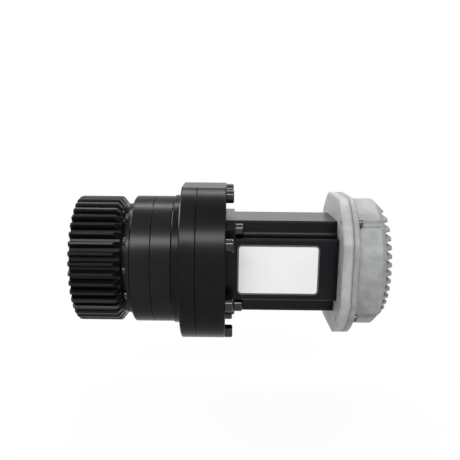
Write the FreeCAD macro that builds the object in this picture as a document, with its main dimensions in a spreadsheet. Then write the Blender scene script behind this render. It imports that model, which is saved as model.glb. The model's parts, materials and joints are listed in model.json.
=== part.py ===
import FreeCAD, Part

import math
import os
from collections import namedtuple

import Sketcher
from FreeCAD import Placement, Rotation, Vector

# Geared steering actuator: a drive pinion on a two-stage planetary gearbox, a brushless
# servo motor and a finned electronics housing, all on one axis.
#
# Frame: X is the shared axis, with the pinion at its -X end and the cooling fins at its +X
# end. Z is up. The origin is the centre of the mounting flange's front face, the face that
# is bolted to the machine, and lengths are in millimetres. A polar angle is measured about
# X, from +Y towards +Z.

DOC = FreeCAD.newDocument("steering_actuator")

# Driving dimensions: name, value, what it is.
SIZES = [
    # drive pinion
    ("pinion_module", 2.0, "module of the pinion's teeth"),
    ("pinion_teeth", 40, "number of pinion teeth"),
    ("pinion_width", 31.5, "face width of the pinion"),
    ("pinion_tooth_angle", 2.0, "polar angle of the first tooth, degrees"),
    ("pinion_thinning", 0.10, "backlash allowance on each tooth's thickness"),
    ("pinion_rear_chamfer_length", 3.8, "chamfer of the teeth beside the gearbox, along the axis"),
    ("pinion_rear_chamfer_height", 4.8, "the same chamfer, across the teeth"),
    ("pinion_front_chamfer", 1.0, "45 degree chamfer of the teeth on the free end"),
    ("pinion_gap", 6.0, "gap between the pinion and the gearbox"),
    ("pinion_bore", 7.5, "radius of the pinion's centring bore"),
    ("pinion_bore_recess", 1.5, "depth of the spigot's end below the pinion's face"),
    ("pinion_screw_circle", 14.5, "bolt circle radius of the pinion screws"),
    ("pinion_screw_count", 6, "number of pinion screws"),
    ("pinion_screw_radius", 3.0, "M6 shank radius"),
    ("pinion_screw_head", 5.0, "M6 head radius"),
    ("pinion_screw_head_height", 6.0, "M6 head height"),
    ("pinion_screw_sink", 6.5, "depth of the heads' counterbores"),
    ("pinion_screw_thread", 17.0, "length of thread in the output flange"),
    ("pinion_recess_radius", 24.5, "radius of the shallow recess in the pinion's free face"),
    ("pinion_recess_width", 4.0, "width of that ring-shaped recess"),
    ("pinion_recess_depth", 2.0, "depth of that recess"),
    ("dowel_rim", 6.0, "distance of the pinion's dowels from the output flange's edge"),
    ("dowel_count", 2, "number of dowels"),
    ("dowel_radius", 2.5, "dowel radius"),
    ("dowel_depth", 7.0, "dowel depth in the pinion"),
    # planetary stages, both alike
    ("gear_module", 1.5, "module of the planetary gears"),
    ("sun_teeth", 12, "teeth of each sun gear"),
    ("planet_teeth", 15, "teeth of each planet gear"),
    ("ring_teeth", 42, "teeth of each ring gear"),
    ("planet_count", 3, "planets in each stage"),
    ("pressure_angle", 20.0, "pressure angle of every gear, degrees"),
    ("stub_addendum", 0.8, "tooth height over the pitch circle of sun and planet, in modules"),
    ("ring_addendum", 0.7, "tooth height of the ring gears, in modules"),
    ("stub_dedendum", 1.05, "tooth depth under the pitch circle of all of them, in modules"),
    ("gear_thinning", 0.12, "backlash allowance on each of their teeth"),
    ("gear_width", 9.0, "face width of sun and planet gears"),
    ("side_clearance", 0.3, "axial clearance beside a turning part"),
    ("running_clearance", 0.05, "radial clearance of a shaft that turns in a bore"),
    ("planet_pin_radius", 4.0, "radius of the planet pins"),
    ("planet_bush_radius", 5.5, "outer radius of the planet bushes"),
    ("carrier_post_radius", 5.5, "radius of the posts that join a carrier's two plates"),
    ("carrier_post_offset", 2.25, "how far those posts stand outside the planets' circle"),
    ("carrier_tenon_radius", 4.0, "radius of each post's tenon in the second plate"),
    ("output_plate_room", 1.6, "radial room around the output carrier's plates"),
    ("output_plate_thickness", 2.5, "thickness of the output carrier's front plate"),
    ("output_cap_thickness", 2.8, "thickness of the output carrier's rear plate"),
    ("input_plate_room", 2.3, "radial room around the first-stage carrier's plates"),
    ("input_plate_thickness", 2.5, "thickness of the first-stage carrier's plates"),
    ("sun_passage_room", 0.8, "radial room around a sun gear in a carrier's rear plate"),
    ("sun_shaft_radius", 6.5, "radius of the output sun's shaft"),
    ("motor_nose_radius", 4.5, "radius of the motor shaft's end, inside the input sun"),
    # output flange, bearing and seal
    ("output_flange_room", 1.0, "radial room between the output flange and the retainer's heads"),
    ("output_flange_thickness", 3.0, "thickness of that flange"),
    ("output_journal", 20.0, "radius of the output journal and bearing bore"),
    ("output_bearing_outer", 31.0, "outer radius of the output bearing"),
    ("output_bearing_width", 12.0, "width of the output bearing"),
    ("output_race_gap", 3.8, "space between the output bearing's rings"),
    ("output_step", 3.5, "height of the steps that hold the output bearing's rings"),
    ("output_lip_thickness", 1.1, "thickness of the housing lip behind the output bearing"),
    ("shield_thickness", 0.6, "thickness of a bearing's shields"),
    ("shield_gap", 0.15, "gap between a shield and the inner ring"),
    ("retainer_thickness", 2.6, "thickness of the bearing retainer"),
    ("retainer_screw_wall", 3.75, "distance of the retainer screws from the bearing"),
    ("retainer_rim", 2.85, "distance of the retainer screws from the retainer's edge"),
    ("retainer_screw_count", 12, "number of retainer screws"),
    ("small_screw_radius", 1.5, "M3 shank radius"),
    ("small_screw_hole", 1.6, "M3 clearance hole radius"),
    ("small_screw_head", 2.75, "M3 head radius"),
    ("small_screw_head_height", 3.0, "M3 head height"),
    ("low_head_height", 2.0, "height of the low M3 heads on the retainer"),
    ("retainer_screw_thread", 6.0, "thread length of the retainer screws"),
    ("seal_inset", 0.1, "how far the seal sits inside its seat at each end"),
    ("seal_wall", 1.2, "wall of the seal's rim"),
    ("seal_web", 0.8, "thickness of the seal's web"),
    ("seal_lip", 1.4, "height of the seal's lip"),
    # gearbox housings
    ("ring_wall", 6.125, "distance of the housing screws from the ring teeth's roots"),
    ("housing_rim", 3.3, "distance of the housing screws from the housings' outside"),
    ("output_ring_reach", 0.7, "how far the output ring gear reaches past its planets"),
    ("housing_edge", 0.8, "chamfer of the front housing's front edge"),
    ("seam_edge", 0.3, "small chamfer at each housing seam"),
    ("housing_screw_count", 8, "number of housing screws"),
    ("housing_screw_radius", 2.0, "M4 shank radius"),
    ("housing_screw_hole", 2.1, "M4 clearance hole radius"),
    ("housing_screw_head", 3.5, "M4 head radius"),
    ("housing_screw_head_height", 4.0, "M4 head height"),
    ("housing_screw_seat", 3.5, "position of the heads' seat behind the flange face"),
    ("housing_screw_thread", 8.5, "thread length in the front housing"),
    ("pilot_length", 5.3, "length of the centring pilot"),
    ("pilot_step", 0.8, "height of the centring pilot over the housings"),
    ("pilot_edge", 0.5, "chamfer of the pilot's edge"),
    # mounting flange and motor adapter
    ("flange_rim", 4.4, "distance of the flange screws from the plates' edge"),
    ("flange_flat_depth", 2.9, "depth of the top and bottom flats"),
    ("flange_edge", 0.6, "chamfer of the flange plates' edges"),
    ("plate_one_thickness", 10.1, "thickness of the mounting flange"),
    ("plate_two_thickness", 18.5, "thickness of the motor adapter"),
    ("flange_screw_wall", 5.5, "distance of the flange screws and mounting holes from the pilot"),
    ("flange_screw_count", 8, "number of flange screws"),
    ("flange_screw_angle", 22.5, "polar angle of the first flange screw, degrees"),
    ("flange_screw_radius", 2.5, "M5 shank radius"),
    ("flange_screw_hole", 2.75, "M5 clearance hole radius"),
    ("flange_screw_head", 4.25, "M5 head radius"),
    ("flange_screw_head_height", 5.0, "M5 head height"),
    ("flange_screw_thread", 8.0, "thread length in the mounting flange"),
    ("mounting_hole_count", 4, "number of threaded mounting holes"),
    ("mounting_hole_radius", 2.1, "radius of an M5 thread's core"),
    ("mounting_hole_depth", 9.0, "depth of the mounting holes"),
    ("cap_bearing_bore", 17.5, "bore radius of the output carrier's rear bearing"),
    ("cap_bearing_outer", 23.5, "outer radius of that bearing"),
    ("cap_bearing_width", 7.0, "width of that bearing"),
    ("cap_race_gap", 2.2, "space between that bearing's rings"),
    ("cap_step", 2.5, "height of the steps that hold that bearing's rings"),
    ("flange_lip_thickness", 1.2, "thickness of that lip"),
    ("chamber_room", 0.35, "step of the carriers' chambers outside the ring teeth"),
    ("input_ring_wall", 4.925, "wall of the input ring gear"),
    ("input_ring_reach", 0.5, "how far the input ring gear reaches past its planets"),
    ("adapter_bore", 14.0, "radius of the adapter's bore for the motor shaft"),
    ("motor_pilot_radius", 25.0, "radius of the motor's centring spigot"),
    ("motor_pilot_length", 2.5, "length of that spigot"),
    # servo motor
    ("motor_flange_step", 1.0, "how far the motor's front flange stands over the motor body"),
    ("motor_flange_thickness", 6.0, "thickness of the motor's front flange"),
    ("motor_flange_corner", 5.0, "corner chamfer of the motor's front flange"),
    ("motor_screw_wall", 6.716, "distance of the motor screws from the notches' corners"),
    ("motor_screw_thread", 8.5, "thread length of the motor screws in the adapter"),
    ("stator_wall", 4.0, "thinnest wall of the motor body"),
    ("stator_length", 59.7, "length of the motor body"),
    ("notch_depth", 10.0, "depth of the motor body's corner notches"),
    ("notch_cove", 3.5, "radius in the bottom of each corner notch"),
    ("body_edge", 0.8, "chamfer of the motor body's long edges"),
    ("stator_bore", 26.0, "bore radius of the motor body"),
    ("core_bore", 15.5, "bore radius of the stator core"),
    ("core_start", 10.4, "distance of the cores behind the motor's front flange"),
    ("core_end", 11.3, "distance of the cores before the motor's rear bell"),
    ("slot_count", 12, "number of stator slots"),
    ("yoke", 3.0, "wall of the core outside its slots"),
    ("tooth_tip", 1.8, "thickness of the tooth tips"),
    ("slot_opening", 1.0, "half the width of the slot openings"),
    ("tooth_half", 2.3, "half the width of a stator tooth"),
    ("coil_clearance", 0.15, "clearance between a coil and its tooth"),
    ("coil_outer_half", 4.2, "half the width of a coil"),
    ("coil_tip_room", 0.5, "radial room between the coils and the tooth tips"),
    ("coil_yoke_room", 0.4, "radial room between the coils and the yoke"),
    ("coil_overhang", 3.5, "how far the coils stand out of the core at each end"),
    ("coil_end_gap", 0.3, "gap between the core's face and a coil's end turn"),
    ("air_gap", 0.5, "gap between the magnets and the stator core"),
    ("rotor_magnet_thickness", 1.6, "thickness of the magnets"),
    ("magnet_count", 8, "number of magnets"),
    ("magnet_half_angle", 19.0, "half the angle of a magnet, degrees"),
    ("shaft_radius", 7.0, "radius of the motor shaft in its seal"),
    ("shaft_body", 9.0, "radius of the motor shaft in the rotor core"),
    ("front_bearing_bore", 7.5, "bore radius of the front motor bearing"),
    ("front_bearing_outer", 16.0, "outer radius of the front motor bearing"),
    ("front_bearing_width", 9.0, "width of the front motor bearing"),
    ("front_bearing_inset", 1.0, "distance of that bearing behind the adapter's face"),
    ("rear_bearing_bore", 6.0, "bore radius of the rear motor bearing"),
    ("rear_bearing_outer", 14.0, "outer radius of the rear motor bearing"),
    ("rear_bearing_width", 8.0, "width of the rear motor bearing"),
    ("front_race_gap", 3.7, "space between the front motor bearing's rings"),
    ("rear_race_gap", 3.2, "space between the rear motor bearing's rings"),
    ("boss_wall", 4.0, "wall of the bosses around the motor bearings"),
    ("stator_spigot", 2.0, "length of the end pieces' spigots in the motor body"),
    ("shaft_seal_seat", 11.0, "outer radius of the motor shaft's seal"),
    ("rear_bell_length", 5.6, "thickness of the motor's rear bell"),
    ("rear_wall", 3.1, "wall behind the rear bearing's seat"),
    ("washer_thickness", 0.8, "height of the preload washer"),
    ("washer_inner", 10.0, "inner radius of the preload washer"),
    ("tail_radius", 4.0, "radius of the shaft's tail and of the encoder magnet"),
    ("tail_bore", 8.0, "radius of the rear bell's bore"),
    ("tail_length", 5.0, "length of the shaft's tail behind the rear bearing"),
    ("magnet_thickness", 2.3, "thickness of the encoder magnet"),
    ("case_screw_wall", 4.2, "distance of the case screws from the motor body's bore"),
    ("case_screw_angle", 60.0, "polar angle of the first case screw, degrees"),
    ("case_screw_length", 10.0, "length of the motor's M3 screws under the head"),
    ("corner_count", 4, "number of the motor's and the drive's corner screws"),
    ("corner_angle", 45.0, "polar angle of the first corner, degrees"),
    ("head_room", 0.25, "radial clearance of a sunk screw head"),
    ("head_edge_share", 0.125, "edge chamfer of a screw head, as a share of its height"),
    ("socket_depth_share", 0.5, "depth of a screw's socket, as a share of its head's height"),
    ("socket_width_share", 0.55, "size of a screw's socket, as a share of its head"),
    ("thread_room", 1.0, "depth of a threaded hole beyond its screw"),
    # drive housing
    ("drive_ledge", 6.3, "how far the drive housing's base stands over its cover"),
    ("drive_flat_depth", 4.1, "depth of the base's four flats"),
    ("base_thickness", 6.2, "thickness of the base plate"),
    ("base_edge", 0.4, "edge chamfer of the base plate and of the cover's flange"),
    ("encoder_pocket", 12.0, "radius of the base plate's bore around the encoder magnet"),
    ("encoder_board_rim", 7.5, "width of the encoder board's rim around the pocket"),
    ("encoder_board_thickness", 1.2, "thickness of the encoder board"),
    ("encoder_board_inset", 0.4, "how far the encoder board lies below the base plate's face"),
    ("encoder_chip_half", 2.5, "half the width of the encoder chip"),
    ("encoder_chip_height", 0.7, "height of the encoder chip"),
    ("base_screw_wall", 4.5, "distance of the base plate's screws from the encoder board"),
    ("gasket_thickness", 0.5, "thickness of the cover gasket"),
    ("cover_flange_thickness", 3.6, "thickness of the cover's flange"),
    ("cover_radius", 42.3, "radius of the cover"),
    ("cover_straight", 15.3, "length of the cover's straight side"),
    ("cover_bevel_length", 7.0, "length of the cover's bevel along the axis"),
    ("cover_bevel_height", 6.8, "height of the cover's bevel"),
    ("cover_wall", 5.8, "wall of the cover's side"),
    ("cover_roof", 3.7, "wall of the cover under the fins"),
    ("fin_pitch", 5.2, "pitch of the cooling fins"),
    ("fin_thickness", 2.2, "thickness of a fin"),
    ("fin_depth", 4.5, "depth of the grooves between the fins"),
    ("cover_screw_step", 1.3, "distance of the cover screws from the cover's side"),
    ("cover_channel", 3.3, "radius of the access channels over the cover screws"),
    ("cover_screw_thread", 5.5, "thread length of the cover screws in the base plate"),
    ("board_room", 2.0, "radial room around the drive board in the cover"),
    ("board_thickness", 1.6, "thickness of the drive board"),
    ("board_height", 5.9, "height of the drive board over the base plate"),
    ("standoff_radius", 2.5, "radius of the board's standoffs"),
    ("standoff_rim", 4.0, "distance of the standoffs from the drive board's edge"),
    ("standoff_stud", 1.4, "radius of the standoffs' studs"),
    ("standoff_stud_length", 2.6, "length of those studs beyond the board"),
    ("standoff_root", 3.5, "length of those studs in the base plate"),
    ("capacitor_radius", 5.0, "radius of the capacitors"),
    ("capacitor_height", 8.5, "height of the capacitors"),
    ("capacitor_circle", 19.0, "circle radius of the capacitors"),
    ("socket_pad_half", 24.0, "half the length of the socket pad"),
    ("socket_pad_width", 14.3, "width of the socket pad"),
    ("socket_spacing", 12.5, "distance of each socket from the middle"),
    ("socket_hole", 6.0, "radius of the sockets' holes"),
    ("socket_nut", 7.0, "radius of the sockets' flanges"),
    ("socket_nut_thickness", 1.8, "thickness of the sockets' flanges"),
    ("socket_reach", 6.0, "how far the sockets stand off the pad"),
    ("socket_barrel", 6.0, "radius of the sockets' barrels"),
    ("socket_insert", 4.3, "radius of the sockets' inserts"),
    ("socket_insert_depth", 9.0, "length of the sockets' inserts"),
]


class Size:
    """A length, angle or count: the expression that FreeCAD keeps, and its present value."""

    def __init__(self, text, value):
        self.text, self.value = text, value

    def _with(self, sign, other, value):
        return Size("(%s %s %s)" % (self.text, sign, other.text), value)

    def __add__(self, other):
        other = size(other)
        return self._with("+", other, self.value + other.value)

    def __sub__(self, other):
        other = size(other)
        return self._with("-", other, self.value - other.value)

    def __mul__(self, other):
        other = size(other)
        return self._with("*", other, self.value * other.value)

    def __truediv__(self, other):
        other = size(other)
        return self._with("/", other, self.value / other.value)

    def __neg__(self):
        return Size("(-1 * %s)" % self.text, -self.value)

    def root(self):
        return Size("sqrt(%s)" % self.text, math.sqrt(self.value))

    def cosine(self):
        return Size("cos(%s)" % self.text, math.cos(math.radians(self.value)))

    def sine(self):
        return Size("sin(%s)" % self.text, math.sin(math.radians(self.value)))

    def tangent(self):
        return Size("tan(%s)" % self.text, math.tan(math.radians(self.value)))


def size(value):
    """The value as a Size."""
    return value if isinstance(value, Size) else Size(repr(float(value)), float(value))


class Sheet:
    """The driving dimensions as a spreadsheet, each read as a Size by its name."""

    def __init__(self, rows):
        self.cells = DOC.addObject("Spreadsheet::Sheet", "Sizes")
        for row, (name, value, meaning) in enumerate(rows, start=1):
            self.cells.set("A%d" % row, str(value))
            self.cells.setAlias("A%d" % row, name)
            self.cells.set("B%d" % row, meaning)
            setattr(self, name, Size("Sizes." + name, float(value)))
        DOC.recompute()


S = Sheet(SIZES)
ZERO = size(0)

# Positions along the axis, each face from the faces before it.
X_PILOT = -S.pilot_length
OUTPUT_STAGE = S.output_plate_thickness + S.gear_width + S.side_clearance * 2
X_RING = X_PILOT - OUTPUT_STAGE - S.output_ring_reach
X_FRONT = X_RING - S.output_bearing_width - S.output_lip_thickness
X_PINION_BACK = X_FRONT - S.pinion_gap
X_PINION_FRONT = X_PINION_BACK - S.pinion_width
X_PLATE_TWO = S.plate_one_thickness
X_MOTOR = X_PLATE_TWO + S.plate_two_thickness
X_STATOR = X_MOTOR + S.motor_flange_thickness
X_BELL = X_STATOR + S.stator_length
X_BASE = X_BELL + S.rear_bell_length
X_GASKET = X_BASE + S.base_thickness
X_COVER = X_GASKET + S.gasket_thickness
X_COVER_SIDE = X_COVER + S.cover_flange_thickness
X_COVER_BEVEL = X_COVER_SIDE + S.cover_straight
X_END = X_COVER_BEVEL + S.cover_bevel_length

# Output stage, from the front housing backwards.
X_FLANGE_BACK = X_PINION_BACK + S.output_flange_thickness
X_RETAINER = X_FRONT - S.retainer_thickness
X_BEARING_BACK = X_FRONT + S.output_bearing_width
X_OUTPUT_PLATE = X_RING + S.side_clearance
X_OUTPUT_PLATE_BACK = X_OUTPUT_PLATE + S.output_plate_thickness
X_OUTPUT_GEARS = X_OUTPUT_PLATE_BACK + S.side_clearance
X_OUTPUT_GEARS_BACK = X_OUTPUT_GEARS + S.gear_width
X_CAP = X_OUTPUT_GEARS_BACK + S.side_clearance
X_CAP_BACK = X_CAP + S.output_cap_thickness
X_CAP_BEARING = X_CAP_BACK + S.side_clearance
X_CAP_BEARING_BACK = X_CAP_BEARING + S.cap_bearing_width

# Input stage, behind the flange's inner lip.
X_CHAMBER = X_CAP_BEARING_BACK + S.flange_lip_thickness
X_INPUT_PLATE = X_CHAMBER + S.side_clearance
X_INPUT_PLATE_BACK = X_INPUT_PLATE + S.input_plate_thickness
X_INPUT_GEARS = X_INPUT_PLATE_BACK + S.side_clearance
X_INPUT_GEARS_BACK = X_INPUT_GEARS + S.gear_width
X_INPUT_RING = X_INPUT_GEARS - S.input_ring_reach
X_INPUT_RING_BACK = X_INPUT_GEARS_BACK + S.input_ring_reach
X_INPUT_CAP = X_INPUT_GEARS_BACK + S.side_clearance
X_INPUT_CAP_BACK = X_INPUT_CAP + S.input_plate_thickness
X_CHAMBER_BACK = X_INPUT_CAP_BACK + S.side_clearance

# Motor.
X_MOTOR_PILOT = X_MOTOR - S.motor_pilot_length
X_FRONT_BEARING = X_MOTOR + S.front_bearing_inset
X_FRONT_BEARING_BACK = X_FRONT_BEARING + S.front_bearing_width
X_CORE = X_STATOR + S.core_start
X_CORE_BACK = X_BELL - S.core_end
X_WASHER_BACK = X_BASE - S.rear_wall
X_REAR_BEARING_BACK = X_WASHER_BACK - S.washer_thickness
X_REAR_BEARING = X_REAR_BEARING_BACK - S.rear_bearing_width
X_MAGNET = X_REAR_BEARING_BACK + S.tail_length
X_BOARD = X_GASKET + S.board_height
X_BOARD_BACK = X_BOARD + S.board_thickness
X_ENCODER_BACK = X_GASKET - S.encoder_board_inset
X_ENCODER = X_ENCODER_BACK - S.encoder_board_thickness

# Radii of the gear train and its housings, from the ring gears' teeth outwards.
PLANET_CENTRE = S.gear_module * (S.sun_teeth + S.planet_teeth) / 2
SUN_TIP = S.gear_module * (S.sun_teeth / 2 + S.stub_addendum)
RING_TIP = S.gear_module * (S.ring_teeth / 2 - S.ring_addendum)
RING_ROOT = S.gear_module * (S.ring_teeth / 2 + S.stub_dedendum)
SUN_PASSAGE = SUN_TIP + S.sun_passage_room
CHAMBER = RING_TIP + S.chamber_room
OUTPUT_PLATE = CHAMBER - S.output_plate_room
INPUT_PLATE = CHAMBER - S.input_plate_room
INPUT_RING = RING_ROOT + S.input_ring_wall
HOUSING_CIRCLE = RING_ROOT + S.ring_wall
HOUSING = HOUSING_CIRCLE + S.housing_rim
PILOT = HOUSING + S.pilot_step
FLANGE_CIRCLE = PILOT + S.flange_screw_wall
FLANGE = FLANGE_CIRCLE + S.flange_rim
FLANGE_FLAT = FLANGE - S.flange_flat_depth

# Radii around the two output bearings.
OUTPUT_SHOULDER = S.output_journal + S.output_step
OUTPUT_LIP = S.output_bearing_outer - S.output_step
RETAINER_CIRCLE = S.output_bearing_outer + S.retainer_screw_wall
RETAINER = RETAINER_CIRCLE + S.retainer_rim
OUTPUT_FLANGE = RETAINER_CIRCLE - S.small_screw_head - S.output_flange_room
CAP_SHOULDER = S.cap_bearing_bore + S.cap_step
CAP_LIP = S.cap_bearing_outer - S.cap_step

# Radii of the motor, from its body's bore outwards and from its core's bore both ways.
STATOR_HALF = S.stator_bore + S.stator_wall
MOTOR_FLANGE_HALF = STATOR_HALF + S.motor_flange_step
NOTCH = STATOR_HALF - S.notch_depth
SLOT_INNER = S.core_bore + S.tooth_tip
SLOT_OUTER = S.stator_bore - S.yoke
COIL_INNER = SLOT_INNER + S.coil_tip_room
COIL_OUTER = SLOT_OUTER - S.coil_yoke_room
MAGNETS = S.core_bore - S.air_gap
ROTOR_CORE = MAGNETS - S.rotor_magnet_thickness

# Radii of the drive housing, from its cover's side.
DRIVE = S.cover_radius + S.drive_ledge
DRIVE_FLAT = DRIVE - S.drive_flat_depth
COVER_END = S.cover_radius - S.cover_bevel_height
CAVITY = S.cover_radius - S.cover_wall
BOARD = CAVITY - S.board_room
ENCODER_BOARD = S.encoder_pocket + S.encoder_board_rim

PLANET_ANGLE = 90.0
POST_ANGLE = 270.0
PINION_SCREW_ANGLE = 30.0

# Equal pieces around the axis: circle radius, polar angle of the first one and how many.
Ring = namedtuple("Ring", "circle turn count")
PLANETS = Ring(PLANET_CENTRE, PLANET_ANGLE, S.planet_count)
POSTS = Ring(PLANET_CENTRE + S.carrier_post_offset, POST_ANGLE, S.planet_count)
PINION_SCREWS = Ring(S.pinion_screw_circle, PINION_SCREW_ANGLE, S.pinion_screw_count)
DOWELS = Ring(OUTPUT_FLANGE - S.dowel_rim, 0, S.dowel_count)
RETAINER_SCREWS = Ring(RETAINER_CIRCLE, 0, S.retainer_screw_count)
HOUSING_SCREWS = Ring(HOUSING_CIRCLE, S.flange_screw_angle, S.housing_screw_count)
FLANGE_SCREWS = Ring(FLANGE_CIRCLE, S.flange_screw_angle, S.flange_screw_count)
MOUNTING_HOLES = Ring(FLANGE_CIRCLE, S.corner_angle, S.mounting_hole_count)
MOTOR_SCREWS = Ring(NOTCH * size(2).root() + S.motor_screw_wall, S.corner_angle, S.corner_count)
CASE_SCREWS = Ring(S.stator_bore + S.case_screw_wall, S.case_screw_angle, S.corner_count)
BASE_SCREWS = Ring(ENCODER_BOARD + S.base_screw_wall, S.corner_angle, S.corner_count)
COVER_SCREWS = Ring(S.cover_radius + S.cover_screw_step, S.corner_angle, S.corner_count)
STANDOFFS = Ring(BOARD - S.standoff_rim, 0, S.corner_count)
CAPACITORS = Ring(S.capacitor_circle, S.corner_angle, S.corner_count)

# Cap screws: shank radius, head radius and head height.
M3_SCREW = (S.small_screw_radius, S.small_screw_head, S.small_screw_head_height)
M3_LOW_SCREW = (S.small_screw_radius, S.small_screw_head, S.low_head_height)
M4_SCREW = (S.housing_screw_radius, S.housing_screw_head, S.housing_screw_head_height)
M5_SCREW = (S.flange_screw_radius, S.flange_screw_head, S.flange_screw_head_height)
M6_SCREW = (S.pinion_screw_radius, S.pinion_screw_head, S.pinion_screw_head_height)


class Piece:
    """One sub-part: a PartDesign body built from sketches tied to the sheet."""

    def __init__(self, label):
        self.body = DOC.addObject("PartDesign::Body", label)
        self.body.Label = label
        self.body.AllowCompound = True
        self.volume = 0.0

    def origin(self, role):
        """One of the body's own origin planes or axes."""
        return next(o for o in self.body.Origin.OriginFeatures if o.Role == role)

    def sketch(self, role, offset):
        """An empty sketch on an origin plane, moved by the three Sizes of offset in its own axes."""
        sketch = self.body.newObject("Sketcher::SketchObject", self.body.Label + "_sketch")
        sketch.AttachmentSupport = (self.origin(role), [""])
        sketch.MapMode = "FlatFace"
        place = Vector(*[step.value for step in offset])
        sketch.AttachmentOffset = Placement(place, Rotation())
        for letter, step in zip("xyz", offset):
            if "Sizes." in step.text:
                sketch.setExpression("AttachmentOffset.Base." + letter, step.text)
        return sketch

    def feature(self, kind, sketch, more):
        """Add a feature on the sketch."""
        feature = self.body.newObject("PartDesign::" + kind, self.body.Label + "_" + kind.lower())
        feature.Profile = sketch
        for name, value in more.items():
            setattr(feature, name, value)
        sketch.Visibility = False
        return feature

    def settle(self, feature, adds):
        """Recompute, and stop if the feature failed or changed nothing."""
        self.body.Tip = feature
        DOC.recompute()
        now = feature.Shape.Volume
        if (now <= self.volume + 1e-6) if adds else (now >= self.volume - 1e-6):
            raise RuntimeError("%s changes nothing: %s" % (feature.Name, feature.State))
        self.volume = now
        return feature

    def turn(self, points, arcs=None, axis_at=(ZERO, ZERO), cut=False):
        """Revolve an outline of (x, radius) points about X, or about a parallel axis at (y, z)."""
        sketch = self.sketch("XY_Plane", (ZERO, axis_at[0], axis_at[1]))
        outline(sketch, points, arcs)
        kind = "Groove" if cut else "Revolution"
        feature = self.feature(kind, sketch, {"ReferenceAxis": (sketch, ["H_Axis"]), "Angle": 360})
        return self.settle(feature, not cut)

    def along(self, start, stop, draw, cut=False):
        """Extrude what draw puts on a sketch in the YZ plane, from x = start to x = stop."""
        sketch = self.sketch("YZ_Plane", (ZERO, ZERO, start))
        draw(sketch)
        feature = self.feature("Pocket" if cut else "Pad", sketch, {"Reversed": cut})
        feature.setExpression("Length", (stop - start).text)
        return self.settle(feature, not cut)

    def across(self, start, stop, draw, cut=False):
        """The same along +Y, on a sketch in the XZ plane whose own axes are X and Z."""
        sketch = self.sketch("XZ_Plane", (ZERO, ZERO, -start))
        draw(sketch)
        feature = self.feature("Pocket" if cut else "Pad", sketch, {"Reversed": not cut})
        feature.setExpression("Length", (stop - start).text)
        return self.settle(feature, not cut)

    def chamfer(self, feature, width, x, beyond):
        """Chamfer the feature's edges that lie in the plane across X at x, outside a radius."""
        names = []
        for number, edge in enumerate(feature.Shape.Edges, start=1):
            box = edge.BoundBox
            middle = edge.valueAt((edge.FirstParameter + edge.LastParameter) / 2)
            level = max(abs(box.XMin - x.value), abs(box.XMax - x.value)) < 1e-6
            if level and math.hypot(middle.y, middle.z) > beyond.value:
                names.append("Edge%d" % number)
        cut = self.body.newObject("PartDesign::Chamfer", self.body.Label + "_chamfer")
        cut.Base = (feature, names)
        cut.setExpression("Size", width.text)
        return self.settle(cut, False)

    def repeat(self, features, count, adds=False):
        """Repeat the features evenly about X."""
        pattern = self.body.newObject("PartDesign::PolarPattern", self.body.Label + "_pattern")
        pattern.Originals = features
        pattern.Axis = (self.origin("X_Axis"), [""])
        pattern.Angle = 360
        pattern.setExpression("Occurrences", size(count).text)
        return self.settle(pattern, adds)

    def holes(self, start, stop, radius, ring_of):
        """A ring of round holes along X."""
        at = polar(ring_of.circle, ring_of.turn)
        hole = self.along(start, stop, lambda sketch: disc(sketch, at, radius), cut=True)
        return self.repeat([hole], ring_of.count)


def polar(radius, turn):
    """(y, z) at a radius and a polar angle."""
    turn = size(turn)
    return radius * turn.cosine(), radius * turn.sine()


def turned_quarters(points):
    """The points of one quarter, repeated four times about X."""
    every = []
    for _ in range(4):
        every += points
        points = [(-z, y) for y, z in points]
    return every


def outline(sketch, points, arcs=None):
    """Close the points with straight edges, or arcs where arcs gives (centre, radius) by edge."""
    arcs, starts = arcs or {}, []
    for edge, (here, there) in enumerate(zip(points, points[1:] + points[:1])):
        a, b = (Vector(p[0].value, p[1].value, 0) for p in (here, there))
        ends = (1, 2)
        if edge in arcs:
            centre, radius = arcs[edge]
            c = Vector(centre[0].value, centre[1].value, 0)
            if (a - c).cross(b - c).z < 0:
                a, b, ends = b, a, (2, 1)
            angles = [math.atan2((p - c).y, (p - c).x) for p in (a, b)]
            circle = Part.Circle(c, Vector(0, 0, 1), radius.value)
            sketch.addGeometry(Part.ArcOfCircle(circle, *angles))
        else:
            sketch.addGeometry(Part.LineSegment(a, b))
        starts.append(ends)
    for edge, ends in enumerate(starts):
        after = (edge + 1) % len(starts)
        sketch.addConstraint(
            Sketcher.Constraint("Coincident", edge, ends[1], after, starts[after][0])
        )
        for name, value in zip(("DistanceX", "DistanceY"), points[edge]):
            hold(sketch, value, name, -1, 1, edge, ends[0])
    for edge, (_, radius) in arcs.items():
        hold(sketch, radius, "Radius", edge)


def disc(sketch, centre, radius):
    """A circle at (first, second) of the sketch's own axes."""
    middle = Vector(centre[0].value, centre[1].value, 0)
    made = sketch.addGeometry(Part.Circle(middle, Vector(0, 0, 1), radius.value))
    for name, value in zip(("DistanceX", "DistanceY"), centre):
        hold(sketch, value, name, -1, 1, made, 3)
    hold(sketch, radius, "Radius", made)


def hold(sketch, value, *constraint):
    """A constraint with a datum that follows the sheet."""
    made = sketch.addConstraint(Sketcher.Constraint(*constraint, value.value))
    if "Sizes." in value.text:
        sketch.setExpression("Constraints[%d]" % made, value.text)


def box_outline(low, high):
    """A rectangle between two corners."""
    return [low, (high[0], low[1]), high, (low[0], high[1])]


def ring(label, start, stop, inner, outer):
    """A plain turned ring."""
    piece = Piece(label)
    piece.turn(box_outline((start, inner), (stop, outer)))
    return piece


# ---------------------------------------------------------------- screws and pins


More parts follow.
